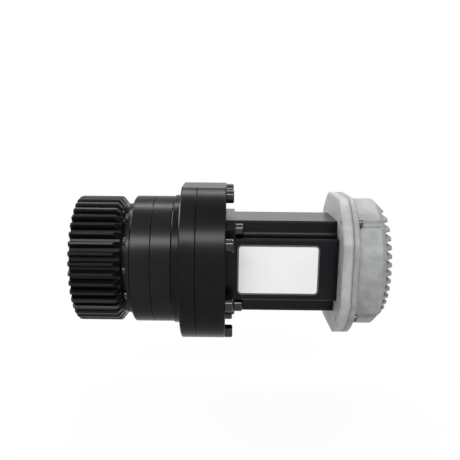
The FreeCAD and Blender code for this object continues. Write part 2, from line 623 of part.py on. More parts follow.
def screws(label, kind, places):
    """Equal cap screws in rings; a place is (seat, side of the head along X, shank end, ring)."""
    radius, head, height = kind
    edge, socket_depth = height * S.head_edge_share, height * S.socket_depth_share
    socket = head * S.socket_width_share
    piece = Piece(label)
    for seat, side, shank_end, ring_of in places:
        top = seat + height * side
        points = [(top, ZERO), (top, head - edge), (top - edge * side, head), (seat, head)]
        points += [(seat, radius), (shank_end, radius), (shank_end, ZERO)]
        at = polar(ring_of.circle, ring_of.turn)
        screw = piece.turn(points, axis_at=at)
        low, high = (top, top + socket_depth) if side < 0 else (top - socket_depth, top)
        corners = [polar(socket, 60 * k) for k in range(6)]
        hexagon = [(at[0] + y, at[1] + z) for y, z in corners]
        cut = piece.along(low, high, lambda sketch: outline(sketch, hexagon), cut=True)
        piece.repeat([screw, cut], ring_of.count, adds=True)


def pins(label, start, stop, radius, ring_of, inner=ZERO):
    """Plain cylinders along X in a ring, or tubes where inner is given."""
    piece = Piece(label)
    points = box_outline((start, inner), (stop, radius))
    made = piece.turn(points, axis_at=polar(ring_of.circle, ring_of.turn))
    piece.repeat([made], ring_of.count, adds=True)


def bearing(label, start, width, bore, outer, gap):
    """A shielded ball bearing as its two rings; the shields belong to the outer ring."""
    stop, race = start + width, (outer - bore - gap) / 2
    shield, groove = bore + race + S.shield_gap, outer - race
    points = [(start, shield), (start, outer), (stop, outer), (stop, shield)]
    points += [(stop - S.shield_thickness, shield), (stop - S.shield_thickness, groove)]
    points += [(start + S.shield_thickness, groove), (start + S.shield_thickness, shield)]
    Piece(label + "_outer").turn(points)
    ring(label + "_inner", start, stop, bore, bore + race)


# ---------------------------------------------------------------- gears


def half_tooth(radius, pitch_radius, teeth, thinning):
    """Half the angle that a tooth with involute flanks fills at this radius."""
    pressure = math.radians(S.pressure_angle.value)
    roll = math.acos(min(1.0, pitch_radius * math.cos(pressure) / radius))
    rolled = (math.tan(pressure) - pressure) - (math.tan(roll) - roll)
    return math.pi / (2 * teeth) + rolled - thinning / (2 * pitch_radius)


def toothed_face(teeth, module, tip, root, thinning, turn, x, centre=(0.0, 0.0)):
    """A face across X bounded by a gear's outline: involute flanks as arcs, round tips and roots."""
    pitch_radius = module * teeth / 2
    base = pitch_radius * math.cos(math.radians(S.pressure_angle.value))
    foot = max(root, base * 1.001)

    def at(radius, angle):
        y, z = centre
        return Vector(x, y + radius * math.cos(angle), z + radius * math.sin(angle))

    def arc(a, b, c):
        return Part.Arc(a, b, c).toShape()

    flank = [(r, half_tooth(r, pitch_radius, teeth, thinning)) for r in (foot, (foot + tip) / 2, tip)]
    pitch = 2 * math.pi / teeth
    edges = []
    for tooth in range(teeth):
        middle = math.radians(turn) + tooth * pitch
        rise = [at(r, middle - half) for r, half in flank]
        fall = [at(r, middle + half) for r, half in reversed(flank)]
        low, after = at(root, middle - flank[0][1]), at(root, middle + flank[0][1])
        following = at(root, middle + pitch - flank[0][1])
        if foot > root:
            edges.append(Part.LineSegment(low, rise[0]).toShape())
        edges.append(arc(*rise))
        edges.append(arc(rise[2], at(tip, middle), fall[0]))
        edges.append(arc(*fall))
        if foot > root:
            edges.append(Part.LineSegment(fall[2], after).toShape())
        edges.append(arc(after, at(root, middle + pitch / 2), following))
    return Part.Face(Part.Wire(edges))


def cylinder(start, stop, radius, centre=(0.0, 0.0)):
    """A cylinder along X, from numbers."""
    return Part.makeCylinder(radius, stop - start, Vector(start, *centre), Vector(1, 0, 0))


def cone_envelope(start, stop, radius, front, back_length, back_height):
    """A cylinder along X with a chamfer at each end, from numbers."""
    points = [(start, 0), (start, radius - front), (start + front, radius)]
    points += [(stop - back_length, radius), (stop, radius - back_height), (stop, 0), (start, 0)]
    face = Part.Face(Part.makePolygon([Vector(x, r, 0) for x, r in points]))
    return face.revolve(Vector(0, 0, 0), Vector(1, 0, 0), 360)


def around(ring_of):
    """(y, z) of each place of a ring, as numbers."""
    count = int(ring_of.count.value)
    for k in range(count):
        angle = math.radians(size(ring_of.turn).value + 360.0 * k / count)
        yield ring_of.circle.value * math.cos(angle), ring_of.circle.value * math.sin(angle)


def keep(label, shape):
    """A sub-part whose teeth are a shape made directly."""
    feature = DOC.addObject("Part::Feature", label)
    feature.Label = label
    feature.Shape = shape
    feature.Placement = Placement()
    return feature


def planet_gear(label, x, number):
    """A planet with a bore for its bush, its outermost tooth pointing away from the axis."""
    module, teeth = S.gear_module.value, int(S.planet_teeth.value)
    pitch_radius, width = module * teeth / 2, S.gear_width.value
    tip = pitch_radius + S.stub_addendum.value * module
    root = pitch_radius - S.stub_dedendum.value * module
    turn = PLANET_ANGLE + 360.0 * number / PLANETS.count.value
    centre = list(around(PLANETS))[number]
    face = toothed_face(teeth, module, tip, root, S.gear_thinning.value, turn, x, centre)
    bore = S.planet_bush_radius.value + S.running_clearance.value
    keep(label, face.extrude(Vector(width, 0, 0)).cut(cylinder(x, x + width, bore, centre)))


def sun_gear(label, x, shaft, bore):
    """A sun with teeth opposite the planets' gaps, and a shaft behind it or a bore through it."""
    module, teeth = S.gear_module.value, int(S.sun_teeth.value)
    pitch_radius, width = module * teeth / 2, S.gear_width.value
    tip = pitch_radius + S.stub_addendum.value * module
    root = pitch_radius - S.stub_dedendum.value * module
    face = toothed_face(teeth, module, tip, root, S.gear_thinning.value, PLANET_ANGLE, x)
    shape = face.extrude(Vector(width, 0, 0))
    if shaft:
        shape = shape.fuse(cylinder(x + width, shaft[1], shaft[0])).removeSplitter()
    if bore:
        shape = shape.cut(cylinder(x, x + width, bore))
    keep(label, shape)


def ring_teeth(x, width):
    """The space inside a ring gear, with a gap of its teeth opposite each planet."""
    module, teeth = S.gear_module.value, int(S.ring_teeth.value)
    pitch_radius = module * teeth / 2
    outer = pitch_radius + S.stub_dedendum.value * module
    inner = pitch_radius - S.ring_addendum.value * module
    face = toothed_face(teeth, module, outer, inner, -S.gear_thinning.value, PLANET_ANGLE, x)
    return face.extrude(Vector(width, 0, 0))


def drive_pinion():
    """The pinion, screwed and dowelled to the output flange."""
    module, teeth = S.pinion_module.value, int(S.pinion_teeth.value)
    front, back = X_PINION_FRONT.value, X_PINION_BACK.value
    tip, root = module * (teeth / 2 + 1), module * (teeth / 2 - 1.25)
    face = toothed_face(
        teeth, module, tip, root, S.pinion_thinning.value, S.pinion_tooth_angle.value, front
    )
    shape = face.extrude(Vector(back - front, 0, 0))
    envelope = cone_envelope(
        front,
        back,
        tip,
        S.pinion_front_chamfer.value,
        S.pinion_rear_chamfer_length.value,
        S.pinion_rear_chamfer_height.value,
    )
    shape = shape.common(envelope)
    shape = shape.cut(cylinder(front, back, S.pinion_bore.value))
    sink = front + S.pinion_recess_depth.value
    recess = cylinder(front, sink, S.pinion_recess_radius.value)
    inner = S.pinion_recess_radius.value - S.pinion_recess_width.value
    shape = shape.cut(recess.cut(cylinder(front, sink, inner)))
    seat = front + S.pinion_screw_sink.value
    for at in around(PINION_SCREWS):
        shape = shape.cut(cylinder(front, seat, S.pinion_screw_head.value + S.head_room.value, at))
        shape = shape.cut(cylinder(seat, back, S.pinion_screw_radius.value + S.head_room.value, at))
    for at in around(DOWELS):
        shape = shape.cut(cylinder(back - S.dowel_depth.value, back, S.dowel_radius.value, at))
    keep("drive_pinion", shape)


def output_ring_gear():
    """The output stage's ring gear, which is also the middle housing."""
    front, back = X_RING.value, X_PILOT.value
    edge = S.seam_edge.value
    shape = cone_envelope(front, back, HOUSING.value, edge, edge, edge)
    shape = shape.cut(ring_teeth(front, back - front))
    for at in around(HOUSING_SCREWS):
        shape = shape.cut(cylinder(front, back, S.housing_screw_hole.value, at))
    keep("output_ring_gear", shape)


def input_ring_gear():
    """The input stage's ring gear, held between the two flange plates."""
    front, back = X_INPUT_RING.value, X_INPUT_RING_BACK.value
    shape = cylinder(front, back, INPUT_RING.value)
    keep("input_ring_gear", shape.cut(ring_teeth(front, back - front)))


# ---------------------------------------------------------------- output end


def output_carrier():
    """The output shaft: spigot, flange for the pinion, journal and the output carrier's plate."""
    piece = Piece("output_carrier")
    start = X_PINION_FRONT + S.pinion_bore_recess
    piece.turn(
        [
            (start, ZERO),
            (start, S.pinion_bore),
            (X_PINION_BACK, S.pinion_bore),
            (X_PINION_BACK, OUTPUT_FLANGE),
            (X_FLANGE_BACK, OUTPUT_FLANGE),
            (X_FLANGE_BACK, S.output_journal),
            (X_BEARING_BACK, S.output_journal),
            (X_BEARING_BACK, OUTPUT_SHOULDER),
            (X_OUTPUT_PLATE, OUTPUT_SHOULDER),
            (X_OUTPUT_PLATE, OUTPUT_PLATE),
            (X_OUTPUT_PLATE_BACK, OUTPUT_PLATE),
            (X_OUTPUT_PLATE_BACK, ZERO),
        ]
    )
    carrier_posts(piece, X_OUTPUT_PLATE_BACK, X_CAP, X_CAP_BACK)
    piece.holes(X_OUTPUT_PLATE, X_OUTPUT_PLATE_BACK, S.planet_pin_radius, PLANETS)
    depth = X_PINION_BACK + S.pinion_screw_thread + S.thread_room
    piece.holes(X_PINION_BACK, depth, S.pinion_screw_radius, PINION_SCREWS)
    piece.holes(X_PINION_BACK, X_FLANGE_BACK, S.dowel_radius, DOWELS)


def carrier_posts(piece, start, shoulder, stop):
    """Posts between the planets, each with a tenon for the carrier's second plate."""
    at = polar(POSTS.circle, POSTS.turn)
    post = piece.along(start, shoulder, lambda sketch: disc(sketch, at, S.carrier_post_radius))
    tenon = piece.along(shoulder, stop, lambda sketch: disc(sketch, at, S.carrier_tenon_radius))
    piece.repeat([post, tenon], POSTS.count, adds=True)


def carrier_cap_holes(piece, start, stop):
    """Holes for the tenons and the planet pins in a carrier's second plate."""
    piece.holes(start, stop, S.carrier_tenon_radius, POSTS)
    piece.holes(start, stop, S.planet_pin_radius, PLANETS)


def output_carrier_cap():
    """The output carrier's rear plate, with the journal of its rear bearing."""
    piece = Piece("output_carrier_cap")
    piece.turn(
        [
            (X_CAP, SUN_PASSAGE),
            (X_CAP, OUTPUT_PLATE),
            (X_CAP_BACK, OUTPUT_PLATE),
            (X_CAP_BACK, CAP_SHOULDER),
            (X_CAP_BEARING, CAP_SHOULDER),
            (X_CAP_BEARING, S.cap_bearing_bore),
            (X_CAP_BEARING_BACK, S.cap_bearing_bore),
            (X_CAP_BEARING_BACK, SUN_PASSAGE),
        ]
    )
    carrier_cap_holes(piece, X_CAP, X_CAP_BACK)


def front_housing():
    """The housing around the output bearing."""
    piece = Piece("front_housing")
    piece.turn(
        [
            (X_FRONT, S.output_bearing_outer),
            (X_FRONT, HOUSING - S.housing_edge),
            (X_FRONT + S.housing_edge, HOUSING),
            (X_RING - S.seam_edge, HOUSING),
            (X_RING, HOUSING - S.seam_edge),
            (X_RING, OUTPUT_LIP),
            (X_BEARING_BACK, OUTPUT_LIP),
            (X_BEARING_BACK, S.output_bearing_outer),
        ]
    )
    depth = X_FRONT + S.retainer_screw_thread + S.thread_room
    piece.holes(X_FRONT, depth, S.small_screw_radius, RETAINER_SCREWS)
    bottom = X_RING - S.housing_screw_thread - S.thread_room
    piece.holes(bottom, X_RING, S.housing_screw_radius, HOUSING_SCREWS)


def bearing_retainer():
    """The ring that clamps the output bearing and carries the shaft seal."""
    piece = ring("bearing_retainer", X_RETAINER, X_FRONT, OUTPUT_LIP, RETAINER)
    piece.holes(X_RETAINER, X_FRONT, S.small_screw_hole, RETAINER_SCREWS)


def lip_seal(label, start, stop, seat, shaft):
    """A shaft seal: a rim in its seat, a web and a lip that runs just clear of the shaft."""
    lip = shaft + S.running_clearance
    piece = Piece(label)
    piece.turn(
        [
            (start, seat),
            (stop, seat),
            (stop, seat - S.seal_wall),
            (start + S.seal_web, seat - S.seal_wall),
            (start + S.seal_web, lip + S.seal_lip),
            (stop, lip + S.seal_lip),
            (start + S.seal_web, lip),
            (start, lip + S.seal_lip / 2),
        ]
    )


# ---------------------------------------------------------------- flange plates


def flange_plate(piece, start, stop):
    """Cut the top and bottom flats of a flange plate."""
    low = (-FLANGE, FLANGE_FLAT)
    high = (FLANGE, FLANGE)
    points = box_outline(low, high)
    flat = piece.along(start, stop, lambda sketch: outline(sketch, points), cut=True)
    piece.repeat([flat], 2)


def mounting_flange():
    """The first flange plate with the centring pilot, the rear output bearing's seat and a lip."""
    piece = Piece("mounting_flange")
    edge = S.flange_edge
    piece.turn(
        [
            (X_PILOT, CHAMBER),
            (X_PILOT, PILOT - S.pilot_edge),
            (X_PILOT + S.pilot_edge, PILOT),
            (ZERO, PILOT),
            (ZERO, FLANGE - edge),
            (edge, FLANGE),
            (X_PLATE_TWO - S.seam_edge, FLANGE),
            (X_PLATE_TWO, FLANGE - S.seam_edge),
            (X_PLATE_TWO, INPUT_RING),
            (X_INPUT_RING, INPUT_RING),
            (X_INPUT_RING, CHAMBER),
            (X_CHAMBER, CHAMBER),
            (X_CHAMBER, CAP_LIP),
            (X_CAP_BEARING_BACK, CAP_LIP),
            (X_CAP_BEARING_BACK, S.cap_bearing_outer),
            (X_CAP_BEARING, S.cap_bearing_outer),
            (X_CAP_BEARING, CHAMBER),
        ]
    )
    flange_plate(piece, ZERO, X_PLATE_TWO)
    seat = S.housing_screw_seat
    piece.holes(X_PILOT, seat, S.housing_screw_hole, HOUSING_SCREWS)
    piece.holes(seat, X_PLATE_TWO, S.housing_screw_head + S.head_room, HOUSING_SCREWS)
    bottom = X_PLATE_TWO - S.flange_screw_thread
    piece.holes(bottom, X_PLATE_TWO, S.flange_screw_radius, FLANGE_SCREWS)
    piece.holes(ZERO, S.mounting_hole_depth, S.mounting_hole_radius, MOUNTING_HOLES)


def motor_adapter():
    """The second flange plate, between the gearbox and the motor."""
    piece = Piece("motor_adapter")
    edge = S.flange_edge
    piece.turn(
        [
            (X_PLATE_TWO, INPUT_RING),
            (X_PLATE_TWO, FLANGE - S.seam_edge),
            (X_PLATE_TWO + S.seam_edge, FLANGE),
            (X_MOTOR - edge, FLANGE),
            (X_MOTOR, FLANGE - edge),
            (X_MOTOR, S.motor_pilot_radius),
            (X_MOTOR_PILOT, S.motor_pilot_radius),
            (X_MOTOR_PILOT, S.adapter_bore),
            (X_CHAMBER_BACK, S.adapter_bore),
            (X_CHAMBER_BACK, CHAMBER),
            (X_INPUT_RING_BACK, CHAMBER),
            (X_INPUT_RING_BACK, INPUT_RING),
        ]
    )
    flange_plate(piece, X_PLATE_TWO, X_MOTOR)
    piece.holes(X_PLATE_TWO, X_MOTOR, S.flange_screw_hole, FLANGE_SCREWS)
    piece.holes(X_MOTOR - S.motor_screw_thread, X_MOTOR, S.flange_screw_radius, MOTOR_SCREWS)


# ---------------------------------------------------------------- input carrier


def input_carrier():
    """The first-stage carrier's front plate and posts; the output sun's shaft is pressed into it."""
    piece = ring(
        "input_carrier", X_INPUT_PLATE, X_INPUT_PLATE_BACK, S.sun_shaft_radius, INPUT_PLATE
    )
    carrier_posts(piece, X_INPUT_PLATE_BACK, X_INPUT_CAP, X_INPUT_CAP_BACK)
    piece.holes(X_INPUT_PLATE, X_INPUT_PLATE_BACK, S.planet_pin_radius, PLANETS)


def input_carrier_cap():
    """The first-stage carrier's rear plate."""
    piece = ring(
        "input_carrier_cap", X_INPUT_CAP, X_INPUT_CAP_BACK, SUN_PASSAGE, INPUT_PLATE
    )
    carrier_cap_holes(piece, X_INPUT_CAP, X_INPUT_CAP_BACK)


# ---------------------------------------------------------------- motor


def motor_section(sketch):
    """The motor body's cross-section: a square with a coved notch along each corner."""
    half, notch, cove, edge = STATOR_HALF, NOTCH, S.notch_cove, S.body_edge
    quarter = [
        (half, -(notch - edge)),
        (half, notch - edge),
        (half - edge, notch),
        (notch + cove, notch),
        (notch, notch + cove),
        (notch, half - edge),
    ]
    centres = turned_quarters([(notch + cove, notch + cove)])
    arcs = {6 * k + 3: (centres[k], cove) for k in range(4)}
    outline(sketch, turned_quarters(quarter), arcs)


def motor_front_flange():
    """The motor's front end piece: spigot, square flange and the front bearing's boss."""
    boss = S.front_bearing_outer + S.boss_wall
    piece = Piece("motor_front_flange")
    piece.turn(
        [
            (X_MOTOR_PILOT, S.shaft_seal_seat),
            (X_MOTOR_PILOT, S.motor_pilot_radius),
            (X_MOTOR, S.motor_pilot_radius),
            (X_MOTOR, S.stator_bore),
            (X_STATOR + S.stator_spigot, S.stator_bore),
            (X_STATOR + S.stator_spigot, boss),
            (X_FRONT_BEARING_BACK, boss),
            (X_FRONT_BEARING_BACK, S.front_bearing_outer),
            (X_FRONT_BEARING, S.front_bearing_outer),
            (X_FRONT_BEARING, S.shaft_seal_seat),
        ]
    )
    half, corner = MOTOR_FLANGE_HALF, S.motor_flange_corner
    quarter = [(half, -(half - corner)), (half, half - corner)]

    def plate(sketch):
        outline(sketch, turned_quarters(quarter))
        disc(sketch, (ZERO, ZERO), boss)

    piece.along(X_MOTOR, X_STATOR, plate)
    piece.holes(X_MOTOR, X_STATOR, S.flange_screw_hole, MOTOR_SCREWS)
    seat = X_MOTOR + S.small_screw_head_height
    piece.holes(X_MOTOR, seat, S.small_screw_head + S.head_room, CASE_SCREWS)
    piece.holes(seat, X_STATOR, S.small_screw_hole, CASE_SCREWS)


def stator_housing():
    """The extruded motor body."""
    piece = Piece("stator_housing")

    def section(sketch):
        motor_section(sketch)
        disc(sketch, (ZERO, ZERO), S.stator_bore)

    piece.along(X_STATOR, X_BELL, section)
    depth = case_screw_reach() - (S.motor_flange_thickness - S.small_screw_head_height)
    piece.holes(X_STATOR, X_STATOR + depth, S.small_screw_radius, CASE_SCREWS)
    depth = case_screw_reach() - (S.rear_bell_length - S.small_screw_head_height)
    piece.holes(X_BELL - depth, X_BELL, S.small_screw_radius, CASE_SCREWS)


def case_screw_reach():
    """How deep the holes of the motor's M3 screws go under the heads' seats."""
    return S.case_screw_length + S.thread_room


def stator_core():
    """The slotted lamination stack."""
    piece = ring("stator_core", X_CORE, X_CORE_BACK, S.core_bore, S.stator_bore)
    half_pitch = size(180) / S.slot_count
    slope, shift = half_pitch.tangent(), S.tooth_half / half_pitch.cosine()
    start = S.core_bore / 2
    right = [(start, -S.slot_opening), (SLOT_INNER, -S.slot_opening)]
    right += [(r, -(r * slope - shift)) for r in (SLOT_INNER, SLOT_OUTER)]
    points = right + [(y, -z) for y, z in reversed(right)]
    points = [turned_point(p, half_pitch) for p in points]
    slot = piece.along(X_CORE, X_CORE_BACK, lambda sketch: outline(sketch, points), cut=True)
    piece.repeat([slot], S.slot_count)


def turned_point(point, turn):
    """A (y, z) point turned about X."""
    y, z = point
    cosine, sine = turn.cosine(), turn.sine()
    return y * cosine - z * sine, y * sine + z * cosine


def stator_windings():
    """One coil around each stator tooth."""
    piece = Piece("stator_windings")
    inner = S.tooth_half + S.coil_clearance

    def coil(sketch):
        start, stop = X_CORE - S.coil_overhang, X_CORE_BACK + S.coil_overhang
        outline(sketch, box_outline((start, -S.coil_outer_half), (stop, S.coil_outer_half)))

    def window(sketch):
        start, stop = X_CORE - S.coil_end_gap, X_CORE_BACK + S.coil_end_gap
        outline(sketch, box_outline((start, -inner), (stop, inner)))

    made = [piece.across(COIL_INNER, COIL_OUTER, coil)]
    made.append(piece.across(COIL_INNER, COIL_OUTER, window, cut=True))
    piece.repeat(made, S.slot_count, adds=True)


def rotor_shaft():
    """The motor shaft, from the input sun to the encoder magnet."""
    steps = [
        (X_INPUT_GEARS, X_INPUT_GEARS_BACK, S.motor_nose_radius),
        (X_INPUT_GEARS_BACK, X_FRONT_BEARING, S.shaft_radius),
        (X_FRONT_BEARING, X_FRONT_BEARING_BACK, S.front_bearing_bore),
        (X_FRONT_BEARING_BACK, X_REAR_BEARING, S.shaft_body),
        (X_REAR_BEARING, X_REAR_BEARING_BACK, S.rear_bearing_bore),
        (X_REAR_BEARING_BACK, X_MAGNET, S.tail_radius),
    ]
    points = [(X_INPUT_GEARS, ZERO)]
    for start, stop, radius in steps:
        points += [(start, radius), (stop, radius)]
    points.append((X_MAGNET, ZERO))
    Piece("rotor_shaft").turn(points)


def rotor_magnets():
    """Curved magnets on the rotor core."""
    piece = Piece("rotor_magnets")
    half = S.magnet_half_angle
    low, high = ROTOR_CORE, MAGNETS
    points = [polar(low, -half), polar(high, -half), polar(high, half), polar(low, half)]
    centre = (ZERO, ZERO)
    arcs = {1: (centre, high), 3: (centre, low)}
    magnet = piece.along(X_CORE, X_CORE_BACK, lambda sketch: outline(sketch, points, arcs))
    piece.repeat([magnet], S.magnet_count, adds=True)


def rear_bell():
    """The motor's rear end piece, with the rear bearing's seat."""
    boss = S.rear_bearing_outer + S.boss_wall
    piece = Piece("rear_bell")
    piece.turn(
        [
            (X_REAR_BEARING, S.rear_bearing_outer),
            (X_REAR_BEARING, boss),
            (X_BELL - S.stator_spigot, boss),
            (X_BELL - S.stator_spigot, S.stator_bore),
            (X_BASE, S.stator_bore),
            (X_BASE, S.tail_bore),
            (X_WASHER_BACK, S.tail_bore),
            (X_WASHER_BACK, S.rear_bearing_outer),
        ]
    )

    def plate(sketch):
        motor_section(sketch)
        disc(sketch, (ZERO, ZERO), boss)

    piece.along(X_BELL, X_BASE, plate)
    seat = X_BASE - S.small_screw_head_height
    piece.holes(seat, X_BASE, S.small_screw_head + S.head_room, CASE_SCREWS)
    piece.holes(X_BELL, seat, S.small_screw_hole, CASE_SCREWS)
    bottom = X_GASKET - S.small_screw_head_height - case_screw_reach()
    piece.holes(bottom, X_BASE, S.small_screw_radius, BASE_SCREWS)


# ---------------------------------------------------------------- drive housing


def drive_section(sketch):
    """The base's outline: a circle with four flats."""
    radius, flat = DRIVE, DRIVE_FLAT
    half = (radius * radius - flat * flat).root()
    quarter = [(flat, -half), (flat, half)]
    centre = (ZERO, ZERO)
    arcs = {2 * k + 1: (centre, radius) for k in range(4)}
    outline(sketch, turned_quarters(quarter), arcs)


def drive_base_plate():
    """The plate that carries the electronics on the motor's rear bell."""
    piece = Piece("drive_base_plate")

    def plate(sketch):
        drive_section(sketch)
        disc(sketch, (ZERO, ZERO), S.encoder_pocket)

    base = piece.along(X_BASE, X_GASKET, plate)
    piece.chamfer(base, S.base_edge, X_BASE, CAVITY)
    middle = (ZERO, ZERO)
    piece.along(
        X_ENCODER, X_GASKET, lambda sketch: disc(sketch, middle, ENCODER_BOARD), cut=True
    )
    piece.holes(X_BASE, X_GASKET, S.small_screw_radius, COVER_SCREWS)
    seat = X_GASKET - S.small_screw_head_height
    piece.holes(seat, X_GASKET, S.small_screw_head + S.head_room, BASE_SCREWS)
    piece.holes(X_BASE, seat, S.small_screw_hole, BASE_SCREWS)
    piece.holes(X_GASKET - S.standoff_root, X_GASKET, S.standoff_stud, STANDOFFS)


def base_gasket():
    """The flat gasket under the cover."""
    piece = Piece("base_gasket")

    def section(sketch):
        drive_section(sketch)
        disc(sketch, (ZERO, ZERO), CAVITY)

    piece.along(X_GASKET, X_COVER, section)
    piece.holes(X_GASKET, X_COVER, S.small_screw_hole, COVER_SCREWS)


def drive_cover():
    """The finned cover of the electronics."""
    piece = Piece("drive_cover")
    flange = piece.along(X_COVER, X_COVER_SIDE, drive_section)
    piece.chamfer(flange, S.base_edge, X_COVER_SIDE, CAVITY)
    piece.turn(
        [
            (X_COVER, ZERO),
            (X_COVER, S.cover_radius),
            (X_COVER_BEVEL, S.cover_radius),
            (X_END, COVER_END),
            (X_END, ZERO),
        ]
    )
    pad_start, pad_stop = X_COVER_SIDE, X_COVER_SIDE + S.socket_pad_width
    pad = box_outline((pad_start, -S.socket_pad_half), (pad_stop, S.socket_pad_half))
    piece.across(
        S.socket_pad_half, DRIVE_FLAT, lambda sketch: outline(sketch, pad)
    )
    roof = X_END - S.fin_depth - S.cover_roof
    cavity = box_outline((X_COVER, ZERO), (roof, CAVITY))
    piece.turn(cavity, cut=True)
    groove = (S.fin_pitch - S.fin_thickness) / 2
    count = int((COVER_END - groove).value * 2 / S.fin_pitch.value) + 1
    first = -S.fin_pitch * (count - 1) / 2

    def grooves(sketch):
        for k in range(count):
            middle = first + S.fin_pitch * k
            low, high = (-S.cover_radius, middle - groove), (S.cover_radius, middle + groove)
            rectangle(sketch, low, high)

    piece.along(X_END - S.fin_depth, X_END, grooves, cut=True)
    piece.holes(X_COVER_SIDE, X_END, S.cover_channel, COVER_SCREWS)
    piece.holes(X_COVER, X_COVER_SIDE, S.small_screw_hole, COVER_SCREWS)

    def socket_holes(sketch):
        for side in (-1, 1):
            disc(sketch, (socket_x(), S.socket_spacing * side), S.socket_hole)

    piece.across(ZERO, DRIVE_FLAT, socket_holes, cut=True)


def rectangle(sketch, low, high):
    """One more closed rectangle on a sketch that may hold others."""
    points, first = box_outline(low, high), sketch.GeometryCount
    for here, there in zip(points, points[1:] + points[:1]):
        ends = [Vector(p[0].value, p[1].value, 0) for p in (here, there)]
        sketch.addGeometry(Part.LineSegment(*ends))
    for edge in range(4):
        after = first + (edge + 1) % 4
        sketch.addConstraint(Sketcher.Constraint("Coincident", first + edge, 2, after, 1))
        for name, value in zip(("DistanceX", "DistanceY"), points[edge]):
            hold(sketch, value, name, -1, 1, first + edge, 1)


def socket_x():
    """Where the sockets sit along the axis."""
    return X_COVER_SIDE + S.socket_pad_width / 2


def encoder_board():
    """The encoder's round board with its sensor chip over the magnet."""
    piece = Piece("encoder_board")
    middle = (ZERO, ZERO)
    piece.along(X_ENCODER, X_ENCODER_BACK, lambda sketch: disc(sketch, middle, ENCODER_BOARD))
    half = S.encoder_chip_half
    chip = box_outline((-half, -half), (half, half))
    piece.along(X_ENCODER - S.encoder_chip_height, X_ENCODER, lambda sketch: outline(sketch, chip))


def drive_board():
    """The drive electronics' board."""
    piece = Piece("drive_board")
    middle = (ZERO, ZERO)
    piece.along(X_BOARD, X_BOARD_BACK, lambda sketch: disc(sketch, middle, BOARD))
    piece.holes(X_BOARD, X_BOARD_BACK, S.standoff_stud, STANDOFFS)


def board_standoffs():
    """Standoffs between the base plate and the drive board, with a stud at each end."""
    piece = Piece("board_standoffs")
    points = [
        (X_GASKET - S.standoff_root, ZERO),
        (X_GASKET - S.standoff_root, S.standoff_stud),
        (X_GASKET, S.standoff_stud),
        (X_GASKET, S.standoff_radius),
        (X_BOARD, S.standoff_radius),
        (X_BOARD, S.standoff_stud),
        (X_BOARD_BACK + S.standoff_stud_length, S.standoff_stud),
        (X_BOARD_BACK + S.standoff_stud_length, ZERO),
    ]
    made = piece.turn(points, axis_at=polar(STANDOFFS.circle, STANDOFFS.turn))
    piece.repeat([made], STANDOFFS.count, adds=True)


def sockets():
    """The power and signal sockets on the pad: threaded shells with flush inserts."""
    top = DRIVE_FLAT + S.socket_reach
    nut = DRIVE_FLAT + S.socket_nut_thickness
    bottom = top - S.socket_insert_depth

    def discs(radius, inner=None):
        def draw(sketch):
            for side in (-1, 1):
                at = (socket_x(), S.socket_spacing * side)
                disc(sketch, at, radius)
                if inner:
                    disc(sketch, at, inner)

        return draw

    shells = Piece("socket_shells")
    shells.across(bottom, DRIVE_FLAT, discs(S.socket_hole, S.socket_insert))
    shells.across(DRIVE_FLAT, nut, discs(S.socket_nut, S.socket_insert))
    shells.across(nut, top, discs(S.socket_barrel, S.socket_insert))
    Piece("socket_inserts").across(bottom, top, discs(S.socket_insert))


# ---------------------------------------------------------------- the assembly


def build_output_end():
    drive_pinion()
    seat, end = X_PINION_FRONT + S.pinion_screw_sink, X_PINION_BACK + S.pinion_screw_thread
    screws("pinion_screws", M6_SCREW, [(seat, -1, end, PINION_SCREWS)])
    pins("pinion_dowels", X_PINION_BACK - S.dowel_depth, X_FLANGE_BACK, S.dowel_radius, DOWELS)
    output_carrier()
    output_carrier_cap()
    bearing(
        "output_bearing",
        X_FRONT,
        S.output_bearing_width,
        S.output_journal,
        S.output_bearing_outer,
        S.output_race_gap,
    )
    bearing(
        "carrier_bearing",
        X_CAP_BEARING,
        S.cap_bearing_width,
        S.cap_bearing_bore,
        S.cap_bearing_outer,
        S.cap_race_gap,
    )
    front_housing()
    bearing_retainer()
    end = X_FRONT + S.retainer_screw_thread
    screws("retainer_screws", M3_LOW_SCREW, [(X_RETAINER, -1, end, RETAINER_SCREWS)])
    seal = (X_RETAINER + S.seal_inset, X_FRONT - S.seal_inset)
    lip_seal("output_seal", *seal, OUTPUT_LIP, S.output_journal)
    end = X_RING - S.housing_screw_thread
    screws("housing_screws", M4_SCREW, [(S.housing_screw_seat, 1, end, HOUSING_SCREWS)])


def build_gears():
    for stage, x in (("output", X_OUTPUT_GEARS), ("input", X_INPUT_GEARS)):
        for number in range(int(PLANETS.count.value)):
            planet_gear("%s_planet_%d" % (stage, number + 1), x.value, number)
    shaft = (S.sun_shaft_radius.value, X_INPUT_PLATE_BACK.value)
    sun_gear("output_sun_gear", X_OUTPUT_GEARS.value, shaft, None)
    sun_gear("input_sun_gear", X_INPUT_GEARS.value, None, S.motor_nose_radius.value)
    output_ring_gear()
    input_ring_gear()
    stages = [
        ("output", X_OUTPUT_PLATE, X_CAP_BACK, X_OUTPUT_PLATE_BACK, X_CAP),
        ("input", X_INPUT_PLATE, X_INPUT_CAP_BACK, X_INPUT_PLATE_BACK, X_INPUT_CAP),
    ]
    for stage, start, stop, inside, outside in stages:
        pin, bush = S.planet_pin_radius, S.planet_bush_radius
        pins(stage + "_planet_pins", start, stop, pin, PLANETS)
        pins(stage + "_planet_bushes", inside, outside, bush, PLANETS, inner=pin)


def build_flanges():
    mounting_flange()
    motor_adapter()
    input_carrier()
    input_carrier_cap()
    end = X_PLATE_TWO - S.flange_screw_thread
    screws("flange_screws", M5_SCREW, [(X_MOTOR, 1, end, FLANGE_SCREWS)])


